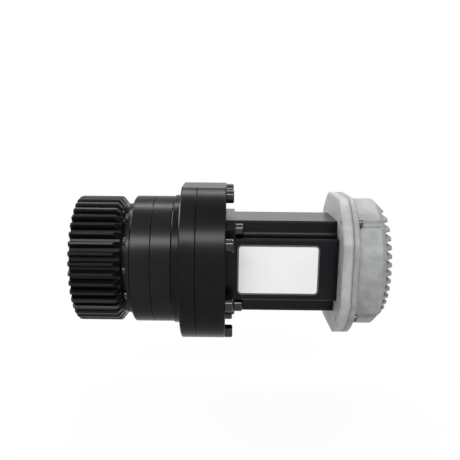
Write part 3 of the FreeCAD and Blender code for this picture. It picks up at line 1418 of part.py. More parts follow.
def build_motor():
    motor_front_flange()
    end = X_MOTOR - S.motor_screw_thread
    screws("motor_screws", M5_SCREW, [(X_STATOR, 1, end, MOTOR_SCREWS)])
    head, length = S.small_screw_head_height, S.case_screw_length
    front, rear, base = X_MOTOR + head, X_BASE - head, X_GASKET - head
    places = [
        (front, -1, front + length, CASE_SCREWS),
        (rear, 1, rear - length, CASE_SCREWS),
        (base, 1, base - length, BASE_SCREWS),
    ]
    screws("case_screws", M3_SCREW, places)
    stator_housing()
    stator_core()
    stator_windings()
    lip_seal(
        "shaft_seal",
        X_MOTOR_PILOT + S.seal_inset,
        X_FRONT_BEARING - S.seal_inset,
        S.shaft_seal_seat,
        S.shaft_radius,
    )
    front = (S.front_bearing_bore, S.front_bearing_outer, S.front_race_gap)
    bearing("front_bearing", X_FRONT_BEARING, S.front_bearing_width, *front)
    rear = (S.rear_bearing_bore, S.rear_bearing_outer, S.rear_race_gap)
    bearing("rear_bearing", X_REAR_BEARING, S.rear_bearing_width, *rear)
    ring("preload_washer", X_REAR_BEARING_BACK, X_WASHER_BACK, S.washer_inner, S.rear_bearing_outer)
    rotor_shaft()
    ring("rotor_core", X_CORE, X_CORE_BACK, S.shaft_body, ROTOR_CORE)
    rotor_magnets()
    rear_bell()
    ring("encoder_magnet", X_MAGNET, X_MAGNET + S.magnet_thickness, ZERO, S.tail_radius)


def build_drive():
    drive_base_plate()
    encoder_board()
    base_gasket()
    drive_board()
    board_standoffs()
    top = X_BOARD_BACK + S.capacitor_height
    pins("capacitors", X_BOARD_BACK, top, S.capacitor_radius, CAPACITORS)
    drive_cover()
    end = X_GASKET - S.cover_screw_thread
    screws("cover_screws", M3_SCREW, [(X_COVER_SIDE, 1, end, COVER_SCREWS)])
    sockets()


def check_and_write():
    """Check every object and sub-part, then write one STEP file for each sub-part."""
    DOC.recompute()
    for item in DOC.Objects:
        if "Invalid" in item.State or "Error" in item.State:
            raise RuntimeError("%s failed: %s" % (item.Name, item.State))
    made = [o for o in DOC.Objects if o.TypeId in ("PartDesign::Body", "Part::Feature")]
    for item in made:
        if item.Shape.isNull() or not item.Shape.isValid() or not item.Shape.Solids:
            raise RuntimeError("%s has no valid shape" % item.Label)
    os.makedirs("parts", exist_ok=True)
    for item in made:
        item.Shape.exportStep("parts/%s.step" % item.Label)
    print("%d sub-parts, %d solids" % (len(made), sum(len(o.Shape.Solids) for o in made)))


build_output_end()
build_gears()
build_flanges()
build_motor()
build_drive()
check_and_write()
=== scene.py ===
"""The look of a geared steering actuator: finishes, name plate, sockets and studio.

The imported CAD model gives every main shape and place. This script dresses its nodes with
procedural materials and models the small visible pieces that the CAD leaves out or leaves
plain: the name plate, the sockets' threaded shells and their contacts. Then it sets the camera
and the light. Lengths are in metres, X is the actuator's axis and Z is up.
"""

import json
import logging
import math
from collections.abc import Callable, Iterable
from dataclasses import dataclass, field
from enum import Enum

import bpy
from mathutils import Matrix, Vector

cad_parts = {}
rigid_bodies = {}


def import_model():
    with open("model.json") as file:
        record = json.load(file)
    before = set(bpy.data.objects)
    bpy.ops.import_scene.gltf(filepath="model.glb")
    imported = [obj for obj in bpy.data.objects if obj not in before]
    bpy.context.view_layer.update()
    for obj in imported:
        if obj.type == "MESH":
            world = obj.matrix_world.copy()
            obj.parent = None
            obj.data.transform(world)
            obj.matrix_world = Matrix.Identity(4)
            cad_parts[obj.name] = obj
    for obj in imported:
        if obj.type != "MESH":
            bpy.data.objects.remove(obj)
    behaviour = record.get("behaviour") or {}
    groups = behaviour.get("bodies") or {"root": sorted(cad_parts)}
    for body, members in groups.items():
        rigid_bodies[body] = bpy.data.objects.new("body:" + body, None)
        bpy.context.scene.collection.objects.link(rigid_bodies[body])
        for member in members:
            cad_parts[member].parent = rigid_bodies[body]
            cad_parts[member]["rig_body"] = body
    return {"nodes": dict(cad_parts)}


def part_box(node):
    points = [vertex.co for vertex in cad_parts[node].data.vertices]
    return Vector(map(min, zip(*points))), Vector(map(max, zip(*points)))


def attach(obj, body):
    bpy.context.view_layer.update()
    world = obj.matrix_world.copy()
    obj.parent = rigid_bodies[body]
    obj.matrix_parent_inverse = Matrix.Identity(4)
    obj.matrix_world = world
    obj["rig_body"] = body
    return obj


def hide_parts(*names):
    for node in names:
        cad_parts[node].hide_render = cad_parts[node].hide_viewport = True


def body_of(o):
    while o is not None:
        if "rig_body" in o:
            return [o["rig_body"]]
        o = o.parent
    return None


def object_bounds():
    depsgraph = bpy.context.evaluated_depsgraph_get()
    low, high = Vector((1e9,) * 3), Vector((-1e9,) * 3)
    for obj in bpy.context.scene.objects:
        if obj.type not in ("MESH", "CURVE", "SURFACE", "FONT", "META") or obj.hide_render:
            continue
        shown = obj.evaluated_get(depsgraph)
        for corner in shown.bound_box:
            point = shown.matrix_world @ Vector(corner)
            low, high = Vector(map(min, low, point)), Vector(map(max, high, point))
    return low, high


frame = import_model()
CAD_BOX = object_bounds()

LOG = logging.getLogger("actuator")
MM = 0.001
Colour = tuple[float, float, float, float]
Point = tuple[float, float, float]
Span = tuple[float, float]

WHITE: Colour = (1.0, 1.0, 1.0, 1.0)
FACING = 0.9  # a face looks along an axis if its normal reaches this far along it
SMOOTH_ANGLE = math.radians(35.0)  # edges that turn less are shaded smooth

# Texture scales are in features per metre. A span is where a mask starts and stops rising.
GRAIN_SCALE = 900.0
CLOUD_SCALE = 40.0
CLOUD_SPAN: Span = (0.3, 0.7)
RING_PITCH = 3500.0
RING_SLANT = 1.37  # how much closer the rings lie along a radius than along the axis
RING_GRAIN = 0.3  # the grain's share in a turned surface's relief
PIT_SCALE = 1500.0
RUB_SCALE = 260.0
RUB_SPAN: Span = (0.42, 0.62)
EDGE_RADIUS = 0.0004
EDGE_WEAR = 0.5
EDGE_SPAN: Span = (0.02, 0.2)
EDGE_SAMPLES = 4
RELIEF_DEPTH = 0.00006
COARSE, FINE = 4.0, 2.0  # the detail of cloudy and of grainy noise


# ---------------------------------------------------------------- node helpers


class NodeSheet:
    """Adds and links nodes on one node tree."""

    def __init__(self, tree: bpy.types.NodeTree) -> None:
        """Start on a tree.

        Args:
            tree: the material's or group's node tree.
        """
        self.tree = tree

    def add(self, kind: str, inputs: dict | None = None, **settings: object) -> bpy.types.Node:
        """Add a shader node.

        Args:
            kind: the node's type without its ShaderNode prefix.
            inputs: values or sockets by input name or number.
            settings: the node's own properties.

        Returns:
            The new node.
        """
        node = self.tree.nodes.new("ShaderNode" + kind)
        for name, value in settings.items():
            setattr(node, name, value)
        for name, value in (inputs or {}).items():
            if isinstance(value, bpy.types.NodeSocket):
                self.tree.links.new(value, node.inputs[name])
            else:
                node.inputs[name].default_value = value
        return node

    def maths(self, operation: str, first: object, second: object = 0.0) -> bpy.types.NodeSocket:
        """Add a Math node.

        Args:
            operation: the node's operation.
            first: its first value or socket.
            second: its second value or socket.

        Returns:
            The result's socket.
        """
        return self.add("Math", {0: first, 1: second}, operation=operation).outputs[0]

    def spread(self, value: object, low: float, high: float) -> bpy.types.NodeSocket:
        """Map a mask from 0 to 1 onto a range.

        Args:
            value: the mask's socket.
            low: the result at 0.
            high: the result at 1.

        Returns:
            The result's socket.
        """
        inputs = {"Value": value, "To Min": low, "To Max": high}
        return self.add("MapRange", inputs, interpolation_type="LINEAR").outputs["Result"]

    def between(self, value: object, low: float, high: float) -> bpy.types.NodeSocket:
        """A mask that rises from 0 at low to 1 at high.

        Args:
            value: the value's socket.
            low: where the mask starts to rise.
            high: where it ends.

        Returns:
            The mask's socket.
        """
        inputs = {"Value": value, "From Min": low, "From Max": high}
        return self.add("MapRange", inputs, interpolation_type="SMOOTHSTEP").outputs["Result"]

    def blend(self, mask: object, first: object, second: object) -> bpy.types.NodeSocket:
        """Mix two colours.

        Args:
            mask: 0 for the first and 1 for the second.
            first: a colour or its socket.
            second: a colour or its socket.

        Returns:
            The mixed colour's socket.
        """
        node = self.add("Mix", {0: mask, 6: first, 7: second}, data_type="RGBA")
        return node.outputs[2]


def effect(
    name: str, inputs: dict[str, float], outputs: dict[str, str]
) -> tuple[NodeSheet, dict, bpy.types.Node]:
    """Start a shader node group with named sockets.

    Args:
        name: the group's name.
        inputs: the default value of each input.
        outputs: the socket type of each output.

    Returns:
        The group's sheet, its input sockets by name, and the node that its results link to.
    """
    tree = bpy.data.node_groups.new(name, "ShaderNodeTree")
    for label, value in inputs.items():
        socket = tree.interface.new_socket(label, in_out="INPUT", socket_type="NodeSocketFloat")
        socket.default_value = value
    for label, kind in outputs.items():
        tree.interface.new_socket(label, in_out="OUTPUT", socket_type=kind)
    sheet = NodeSheet(tree)
    given = tree.nodes.new("NodeGroupInput")
    result = tree.nodes.new("NodeGroupOutput")
    return sheet, {label: given.outputs[label] for label in inputs}, result


class Effects:
    """Shared surface effects, each built once as a node group."""

    def __init__(self) -> None:
        """Build the groups."""
        self.mottle = self._mottle()
        self.turning = self._turning()
        self.edges = self._edges()

    def _mottle(self) -> bpy.types.NodeTree:
        """Cloudy variation and fine grain.

        Returns:
            A group with Cloud and Grain masks.
        """
        outputs = {"Cloud": "NodeSocketFloat", "Grain": "NodeSocketFloat"}
        inputs = {"Cloud Scale": CLOUD_SCALE, "Grain Scale": GRAIN_SCALE}
        sheet, given, result = effect("mottle", inputs, outputs)
        place = sheet.add("TexCoord").outputs["Object"]
        for label, detail in (("Cloud", COARSE), ("Grain", FINE)):
            scale = given[label + " Scale"]
            noise = sheet.add("TexNoise", {"Vector": place, "Scale": scale, "Detail": detail})
            sheet.tree.links.new(noise.outputs["Fac"], result.inputs[label])
        return sheet.tree

    def _turning(self) -> bpy.types.NodeTree:
        """The fine rings that a lathe leaves about the X axis.

        Returns:
            A group with a Rings mask.
        """
        outputs = {"Rings": "NodeSocketFloat"}
        sheet, given, result = effect("turning", {"Pitch": RING_PITCH}, outputs)
        place = sheet.add("TexCoord").outputs["Object"]
        parts = sheet.add("SeparateXYZ", {0: place}).outputs
        squares = [sheet.maths("MULTIPLY", parts[axis], parts[axis]) for axis in (1, 2)]
        radius = sheet.maths("SQRT", sheet.maths("ADD", *squares))
        run = sheet.maths("ADD", parts[0], sheet.maths("MULTIPLY", radius, RING_SLANT))
        inputs = {"W": sheet.maths("MULTIPLY", run, given["Pitch"]), "Scale": 1.0, "Detail": FINE}
        lines = sheet.add("TexNoise", inputs, noise_dimensions="1D")
        sheet.tree.links.new(lines.outputs["Fac"], result.inputs["Rings"])
        return sheet.tree

    def _edges(self) -> bpy.types.NodeTree:
        """Rounded edges, with a mask of where they are worn.

        Returns:
            A group with a Worn mask and the rounded Normal.
        """
        outputs = {"Worn": "NodeSocketFloat", "Normal": "NodeSocketVector"}
        inputs = {"Radius": EDGE_RADIUS, "Wear": EDGE_WEAR}
        sheet, given, result = effect("edges", inputs, outputs)
        bevel = sheet.add("Bevel", {"Radius": given["Radius"]}, samples=EDGE_SAMPLES).outputs[0]
        flat = sheet.add("NewGeometry").outputs["Normal"]
        product = sheet.add("VectorMath", {0: bevel, 1: flat}, operation="DOT_PRODUCT")
        turned = sheet.maths("SUBTRACT", 1.0, product.outputs["Value"])
        edge = sheet.between(turned, *EDGE_SPAN)
        place = sheet.add("TexCoord").outputs["Object"]
        noise = sheet.add("TexNoise", {"Vector": place, "Scale": RUB_SCALE, "Detail": COARSE})
        patchy = sheet.between(noise.outputs["Fac"], *RUB_SPAN)
        worn = sheet.maths("MULTIPLY", sheet.maths("MULTIPLY", edge, patchy), given["Wear"])
        sheet.tree.links.new(worn, result.inputs["Worn"])
        sheet.tree.links.new(bevel, result.inputs["Normal"])
        return sheet.tree


# ---------------------------------------------------------------- finishes


class Skin(Enum):
    """How a surface was made, which decides its relief."""

    TURNED = "turned"
    MILLED = "milled"
    BLASTED = "blasted"
    MOULDED = "moulded"


@dataclass(frozen=True)
class Finish:
    """One surface finish: colour, gloss, relief and wear.

    Attributes:
        name: the material's name.
        colour: the surface's own colour.
        metallic: 1 for bare metal and 0 for a coated or plastic surface.
        roughness: the gloss, from 0 for a mirror.
        skin: how the surface was made.
        shade: how much darker the cloudy patches are.
        cloud: how many such patches fit in a metre.
        uneven: how far the roughness varies.
        relief: the strength of the relief's bump.
        wear: how strongly the edges are rubbed.
        worn_colour: what shows where they are.
        edge: the radius that the edges are rounded to, in metres.
        specular: the strength of a coated surface's reflection.
        grazing: how much of a metal's reflection is left where it is seen edge-on.
    """

    name: str
    colour: Colour
    metallic: float = 0.0
    roughness: float = 0.4
    skin: Skin = Skin.MILLED
    shade: float = 0.15
    cloud: float = CLOUD_SCALE
    uneven: float = 0.08
    relief: float = 0.1
    wear: float = 0.0
    worn_colour: Colour = (0.30, 0.30, 0.31, 1.0)
    edge: float = EDGE_RADIUS
    specular: float = 0.5
    grazing: float = 1.0

    def relief_height(
        self, sheet: NodeSheet, effects: Effects, grain: bpy.types.NodeSocket
    ) -> bpy.types.NodeSocket:
        """The height of the surface's relief.

        Args:
            sheet: the material's nodes.
            effects: the shared groups.
            grain: the fine grain's mask.

        Returns:
            The height's socket.
        """
        if self.skin is Skin.TURNED:
            rings = sheet.add("Group", node_tree=effects.turning).outputs["Rings"]
            return sheet.maths("ADD", rings, sheet.maths("MULTIPLY", grain, RING_GRAIN))
        if self.skin is Skin.BLASTED:
            place = sheet.add("TexCoord").outputs["Object"]
            pits = sheet.add("TexVoronoi", {"Vector": place, "Scale": PIT_SCALE})
            return sheet.maths("ADD", pits.outputs["Distance"], grain)
        return grain

    def build(self, effects: Effects) -> bpy.types.Material:
        """Make the material.

        Args:
            effects: the shared groups.

        Returns:
            The material.
        """
        material = bpy.data.materials.new(self.name)
        material.use_nodes = True
        sheet = NodeSheet(material.node_tree)
        shader = material.node_tree.nodes["Principled BSDF"]
        mottle = sheet.add("Group", {"Cloud Scale": self.cloud}, node_tree=effects.mottle)
        rounding = {"Radius": self.edge, "Wear": self.wear}
        edges = sheet.add("Group", rounding, node_tree=effects.edges)
        dark = tuple(part * (1.0 - self.shade) for part in self.colour[:3]) + (1.0,)
        cloud = mottle.outputs["Cloud"]
        body = sheet.blend(sheet.between(cloud, *CLOUD_SPAN), dark, self.colour)
        body = sheet.blend(edges.outputs["Worn"], body, self.worn_colour)
        gloss = sheet.spread(cloud, self.roughness - self.uneven, self.roughness + self.uneven)
        height = self.relief_height(sheet, effects, mottle.outputs["Grain"])
        bump = sheet.add(
            "Bump",
            {
                "Strength": self.relief,
                "Distance": RELIEF_DEPTH,
                "Height": height,
                "Normal": edges.outputs["Normal"],
            },
        )
        links = material.node_tree.links
        links.new(body, shader.inputs["Base Color"])
        links.new(gloss, shader.inputs["Roughness"])
        links.new(bump.outputs["Normal"], shader.inputs["Normal"])
        shader.inputs["Metallic"].default_value = self.metallic
        shader.inputs["Specular IOR Level"].default_value = self.specular
        shader.inputs["Specular Tint"].default_value = (self.grazing,) * 3 + (1.0,)
        return material


PINION_BLACK = Finish(
    "pinion_black_oxide",
    (0.006, 0.006, 0.0066, 1.0),
    roughness=0.25,
    skin=Skin.MILLED,
    uneven=0.04,
    wear=0.30,
    worn_colour=(0.09, 0.09, 0.10, 1.0),
    edge=0.0005,
    specular=0.18,
)
HOUSING_BLACK = Finish(
    "housing_black_oxide",
    (0.0215, 0.0215, 0.0222, 1.0),
    metallic=1.0,
    roughness=0.27,
    skin=Skin.TURNED,
    uneven=0.02,
    relief=0.04,
    wear=0.40,
    worn_colour=(0.16, 0.16, 0.17, 1.0),
    edge=0.0005,
    grazing=0.65,
)
FLANGE_BLACK = Finish(
    "flange_black_anodised",
    (0.0155, 0.0155, 0.0160, 1.0),
    metallic=1.0,
    roughness=0.25,
    skin=Skin.TURNED,
    uneven=0.02,
    relief=0.04,
    wear=0.15,
    worn_colour=(0.12, 0.12, 0.13, 1.0),
    edge=0.0005,
    grazing=0.65,
)
MOTOR_BLACK = Finish(
    "motor_black_anodised",
    (0.0170, 0.0172, 0.0190, 1.0),
    metallic=1.0,
    roughness=0.30,
    skin=Skin.MILLED,
    uneven=0.02,
    relief=0.05,
    wear=0.25,
    worn_colour=(0.12, 0.12, 0.13, 1.0),
    edge=0.0004,
)
SCREW_BLACK = Finish(
    "screw_black_oxide",
    (0.045, 0.045, 0.047, 1.0),
    metallic=1.0,
    roughness=0.16,
    skin=Skin.MILLED,
    uneven=0.04,
    wear=0.8,
    worn_colour=(0.55, 0.55, 0.56, 1.0),
    edge=0.0005,
    grazing=0.8,
)
CAST_ALUMINIUM = Finish(
    "cast_aluminium",
    (0.318, 0.323, 0.328, 1.0),
    metallic=0.3,
    roughness=0.58,
    skin=Skin.BLASTED,
    shade=0.24,
    cloud=150.0,
    relief=0.6,
    edge=0.0018,
)
MILLED_ALUMINIUM = Finish(
    "milled_aluminium",
    (0.395, 0.40, 0.405, 1.0),
    metallic=0.2,
    roughness=0.58,
    skin=Skin.BLASTED,
    shade=0.18,
    cloud=170.0,
    relief=0.4,
    edge=0.0028,
)
PLATED_SCREW = Finish(
    "screw_plated",
    (0.09, 0.09, 0.095, 1.0),
    metallic=1.0,
    roughness=0.18,
    skin=Skin.MILLED,
    wear=0.5,
    worn_colour=(0.5, 0.5, 0.5, 1.0),
    edge=0.0006,
)
GROUND_STEEL = Finish("ground_steel", (0.52, 0.52, 0.53, 1.0), 1.0, 0.25, Skin.TURNED, relief=0.15)
BEARING_STEEL = Finish(
    "bearing_steel", (0.62, 0.62, 0.63, 1.0), 1.0, 0.18, Skin.TURNED, relief=0.08
)
BRONZE = Finish("bronze", (0.60, 0.40, 0.18, 1.0), 1.0, 0.35, Skin.TURNED)
RUBBER = Finish("seal_rubber", (0.018, 0.018, 0.018, 1.0), 0.0, 0.6, Skin.MOULDED, relief=0.2)
LAMINATIONS = Finish("laminations", (0.30, 0.30, 0.32, 1.0), 1.0, 0.4, Skin.TURNED, relief=0.5)
COPPER = Finish("enamelled_copper", (0.62, 0.26, 0.12, 1.0), 0.9, 0.35, Skin.MILLED)
MAGNET = Finish("nickel_magnet", (0.42, 0.42, 0.44, 1.0), 1.0, 0.28, Skin.MILLED)
CIRCUIT_BOARD = Finish("circuit_board", (0.01, 0.09, 0.04, 1.0), 0.0, 0.35, Skin.MOULDED)
NICKEL = Finish("nickel_plate", (0.66, 0.65, 0.62, 1.0), 1.0, 0.22, Skin.TURNED, relief=0.1)
SOCKET_NICKEL = Finish(
    "socket_nickel_plate", (0.46, 0.45, 0.43, 1.0), 1.0, 0.32, Skin.MILLED, relief=0.05, edge=0.0001
)
BLACK_PLASTIC = Finish(
    "black_plastic", (0.018, 0.018, 0.020, 1.0), 0.0, 0.5, Skin.MOULDED, relief=0.2
)
GOLD = Finish("gold_contact", (0.80, 0.58, 0.22, 1.0), 1.0, 0.2, Skin.TURNED, relief=0.05)
PLATE_RIM = Finish("name_plate_rim", (0.12, 0.12, 0.125, 1.0), 1.0, 0.35, Skin.MILLED, edge=0.0002)
GASKET_GREY = Finish("gasket_sheet", (0.15, 0.15, 0.15, 1.0), 0.0, 0.7, Skin.MOULDED, relief=0.2)
PLATE_FIELD = Finish(
    "name_plate_field", (0.80, 0.80, 0.80, 1.0), 0.0, 0.42, Skin.MILLED, shade=0.03
)


class Palette:
    """Every finish's material, made when it is first asked for."""

    def __init__(self, effects: Effects) -> None:
        """Start with none made.

        Args:
            effects: the shared groups.
        """
        self.effects = effects
        self.made: dict[str, bpy.types.Material] = {}

    def get(self, finish: Finish) -> bpy.types.Material:
        """The finish's material.

        Args:
            finish: the finish asked for.

        Returns:
            Its one material.
        """
        if finish.name not in self.made:
            self.made[finish.name] = finish.build(self.effects)
        return self.made[finish.name]

    def dress(self, names: Iterable[str], finish: Finish) -> None:
        """Give CAD nodes a finish.

        Args:
            names: the nodes.
            finish: their finish.
        """
        for name in names:
            slots = frame["nodes"][name].data.materials
            slots.clear()
            slots.append(self.get(finish))
            LOG.info("%s: %s", name, finish.name)


# ---------------------------------------------------------------- modelling helpers


class Bench:
    """Modelling by hand with Blender's own tools."""

    @staticmethod
    def clear() -> None:
        """Deselect everything."""
        bpy.ops.object.select_all(action="DESELECT")

    @staticmethod
    def block(name: str, low: Point, high: Point) -> bpy.types.Object:
        """Add a block between two corners.

        Args:
            name: the piece's name.
            low: its lowest corner.
            high: its highest corner.

        Returns:
            The block, with its place in its mesh.
        """
        Bench.clear()
        low, high = Vector(low), Vector(high)
        bpy.ops.mesh.primitive_cube_add(size=1.0, location=(low + high) / 2)
        piece = bpy.context.object
        piece.name, piece.scale = name, high - low
        bpy.ops.object.transform_apply(location=True, rotation=True, scale=True)
        return piece

    @staticmethod
    def rod(
        name: str, start: Point, length: float, radius: float, sides: int
    ) -> bpy.types.Object:
        """Add a cylinder that stands on a point and runs along +Y.

        Args:
            name: the piece's name.
            start: the centre of its first face.
            length: its length.
            radius: its radius.
            sides: its number of sides.

        Returns:
            The cylinder, with its place in its mesh.
        """
        Bench.clear()
        bpy.ops.mesh.primitive_cylinder_add(
            vertices=sides,
            radius=radius,
            depth=length,
            location=Vector(start) + Vector((0.0, length / 2, 0.0)),
            rotation=(math.pi / 2, 0.0, 0.0),
        )
        piece = bpy.context.object
        piece.name = name
        bpy.ops.object.transform_apply(location=True, rotation=True, scale=True)
        return piece

    @staticmethod
    def pick_faces(
        piece: bpy.types.Object, wanted: Callable[[bpy.types.MeshPolygon], bool]
    ) -> None:
        """Go to edit mode with only the wanted faces selected.

        Args:
            piece: the piece to edit.
            wanted: says of each face whether it is wanted.
        """
        Bench._select(piece, "FACE", [wanted(face) for face in piece.data.polygons])

    @staticmethod
    def pick_edges(piece: bpy.types.Object, wanted: Callable[[Vector, Vector], bool]) -> None:
        """Go to edit mode with only the wanted edges selected.

        Args:
            piece: the piece to edit.
            wanted: says of each edge, by its two ends, whether it is wanted.
        """
        points = [point.co.copy() for point in piece.data.vertices]
        chosen = [wanted(*(points[v] for v in edge.vertices)) for edge in piece.data.edges]
        Bench._select(piece, "EDGE", chosen)

    @staticmethod
    def _select(piece: bpy.types.Object, kind: str, chosen: list[bool]) -> None:
        """Select parts of a mesh and open it in edit mode.

        Leaving edit mode stores the mesh anew, so the faces or edges are looked up after it.

        Args:
            piece: the piece to edit.
            kind: FACE or EDGE.
            chosen: whether each of its faces or edges is selected.
        """
        Bench.clear()
        piece.select_set(True)
        bpy.context.view_layer.objects.active = piece
        bpy.ops.object.mode_set(mode="EDIT")
        bpy.ops.mesh.select_mode(type=kind)
        bpy.ops.mesh.select_all(action="DESELECT")
        bpy.ops.object.mode_set(mode="OBJECT")
        parts = piece.data.polygons if kind == "FACE" else piece.data.edges
        parts.foreach_set("select", chosen)
        bpy.ops.object.mode_set(mode="EDIT")

    @staticmethod
    def extrude(along: float) -> None:
        """Extrude the selected faces along Y.

        Args:
            along: how far.
        """
        move = {"value": (0.0, along, 0.0)}
        bpy.ops.mesh.extrude_region_move(TRANSFORM_OT_translate=move)

    @staticmethod
    def done() -> None:
        """Go back to object mode."""
        bpy.ops.object.mode_set(mode="OBJECT")

    @staticmethod
    def finish(
        piece: bpy.types.Object, body: str, slot: str, materials: list[bpy.types.Material]
    ) -> None:
        """Shade a piece, give it its materials and let it ride.

        Args:
            piece: the finished piece.
            body: the CAD body it moves with.
            slot: the record's material slot; not used.
            materials: its materials, in the order of its faces' numbers.
        """
        Bench.clear()
        piece.select_set(True)
        bpy.context.view_layer.objects.active = piece
        bpy.ops.object.shade_smooth_by_angle(angle=SMOOTH_ANGLE)
        for material in materials:
            piece.data.materials.append(material)
        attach(piece, body)
        LOG.info("%s: new piece on %s", piece.name, body)


# ---------------------------------------------------------------- sub-assemblies


def bearing_rings(*bearings: str) -> list[str]:
    """Name the CAD nodes of some bearings' rings.

    Args:
        bearings: the bearings' names.

    Returns:
        Both rings of each.
    """
    return ["%s_bearing_%s" % (name, side) for name in bearings for side in ("inner", "outer")]


@dataclass
class Gearbox:
    """The pinion, the planetary stages and their housings.

    Attributes:
        palette: the materials.
    """

    palette: Palette

    def dress(self) -> None:
        """Give every node its finish."""
        dress = self.palette.dress
        dress(["drive_pinion"], PINION_BLACK)
        housings = ["front_housing", "bearing_retainer", "output_ring_gear", "output_carrier"]
        dress(housings, HOUSING_BLACK)
        dress(["mounting_flange", "motor_adapter"], FLANGE_BLACK)
        screws = ["pinion_screws", "retainer_screws", "housing_screws", "flange_screws"]
        dress(screws, SCREW_BLACK)
        gears = ["%s_planet_%d" % (stage, k) for stage in ("output", "input") for k in (1, 2, 3)]
        gears += ["output_sun_gear", "input_ring_gear", "input_carrier", "input_carrier_cap"]
        dress(gears + ["output_carrier_cap"], GROUND_STEEL)
        dress(bearing_rings("output", "carrier"), BEARING_STEEL)
        dress(["pinion_dowels", "output_planet_pins", "input_planet_pins"], BEARING_STEEL)
        dress(["output_planet_bushes", "input_planet_bushes"], BRONZE)
        dress(["output_seal"], RUBBER)


@dataclass
class Motor:
    """The servo motor and its name plate.

    Attributes:
        palette: the materials.
        plate_start: distance of the plate behind the motor body's front.
        plate_length: the plate's length along the axis.
        plate_height: the plate's height.
        plate_thickness: its thickness.
        corner: the radius of its corners.
        corner_steps: how many faces round a corner.
        rim: the width of its rim.
        sink: how far the field lies under the rim.
        margin: how far inside the rim a face must lie to be the field.
    """

    palette: Palette
    plate_start: float = 1.4 * MM
    plate_length: float = 52.0 * MM
    plate_height: float = 32.4 * MM
    plate_thickness: float = 0.5 * MM
    corner: float = 2.9 * MM
    corner_steps: int = 6
    rim: float = 1.0 * MM
    sink: float = 0.12 * MM
    margin: float = 0.1 * MM

    def name_plate(self) -> bpy.types.Object:
        """Model the blank name plate on the motor's side.

        Returns:
            The plate.
        """
        low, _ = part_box("stator_housing")
        start = low.x + self.plate_start
        half = self.plate_height / 2
        plate = Bench.block(
            "name_plate",
            (start, low.y - self.plate_thickness, -half),
            (start + self.plate_length, low.y, half),
        )
        Bench.pick_edges(plate, lambda a, b: abs(a.y - b.y) > self.plate_thickness / 2)
        bpy.ops.mesh.bevel(offset=self.corner, segments=self.corner_steps)
        Bench.done()
        Bench.pick_faces(plate, lambda face: face.normal.y < -FACING)
        bpy.ops.mesh.inset(thickness=self.rim)
        Bench.extrude(self.sink)
        Bench.done()
        materials = [self.palette.get(finish) for finish in (PLATE_RIM, PLATE_FIELD)]
        Bench.finish(plate, "housing", "dark_aluminium", materials)
        inner = self.plate_height / 2 - self.rim - self.margin
        for face in plate.data.polygons:
            inside = abs(face.center.z) < inner and face.area > self.plate_length * inner
            face.material_index = int(inside and face.normal.y < -FACING)
        return plate

    def dress(self) -> None:
        """Give every node its finish."""
        dress = self.palette.dress
        dress(["motor_front_flange", "stator_housing", "rear_bell"], MOTOR_BLACK)
        dress(["motor_screws", "case_screws"], SCREW_BLACK)
        dress(["rotor_shaft", "input_sun_gear"], GROUND_STEEL)
        dress(bearing_rings("front", "rear") + ["preload_washer"], BEARING_STEEL)
        dress(["stator_core", "rotor_core"], LAMINATIONS)
        dress(["stator_windings"], COPPER)
        dress(["rotor_magnets", "encoder_magnet"], MAGNET)
        dress(["shaft_seal"], RUBBER)


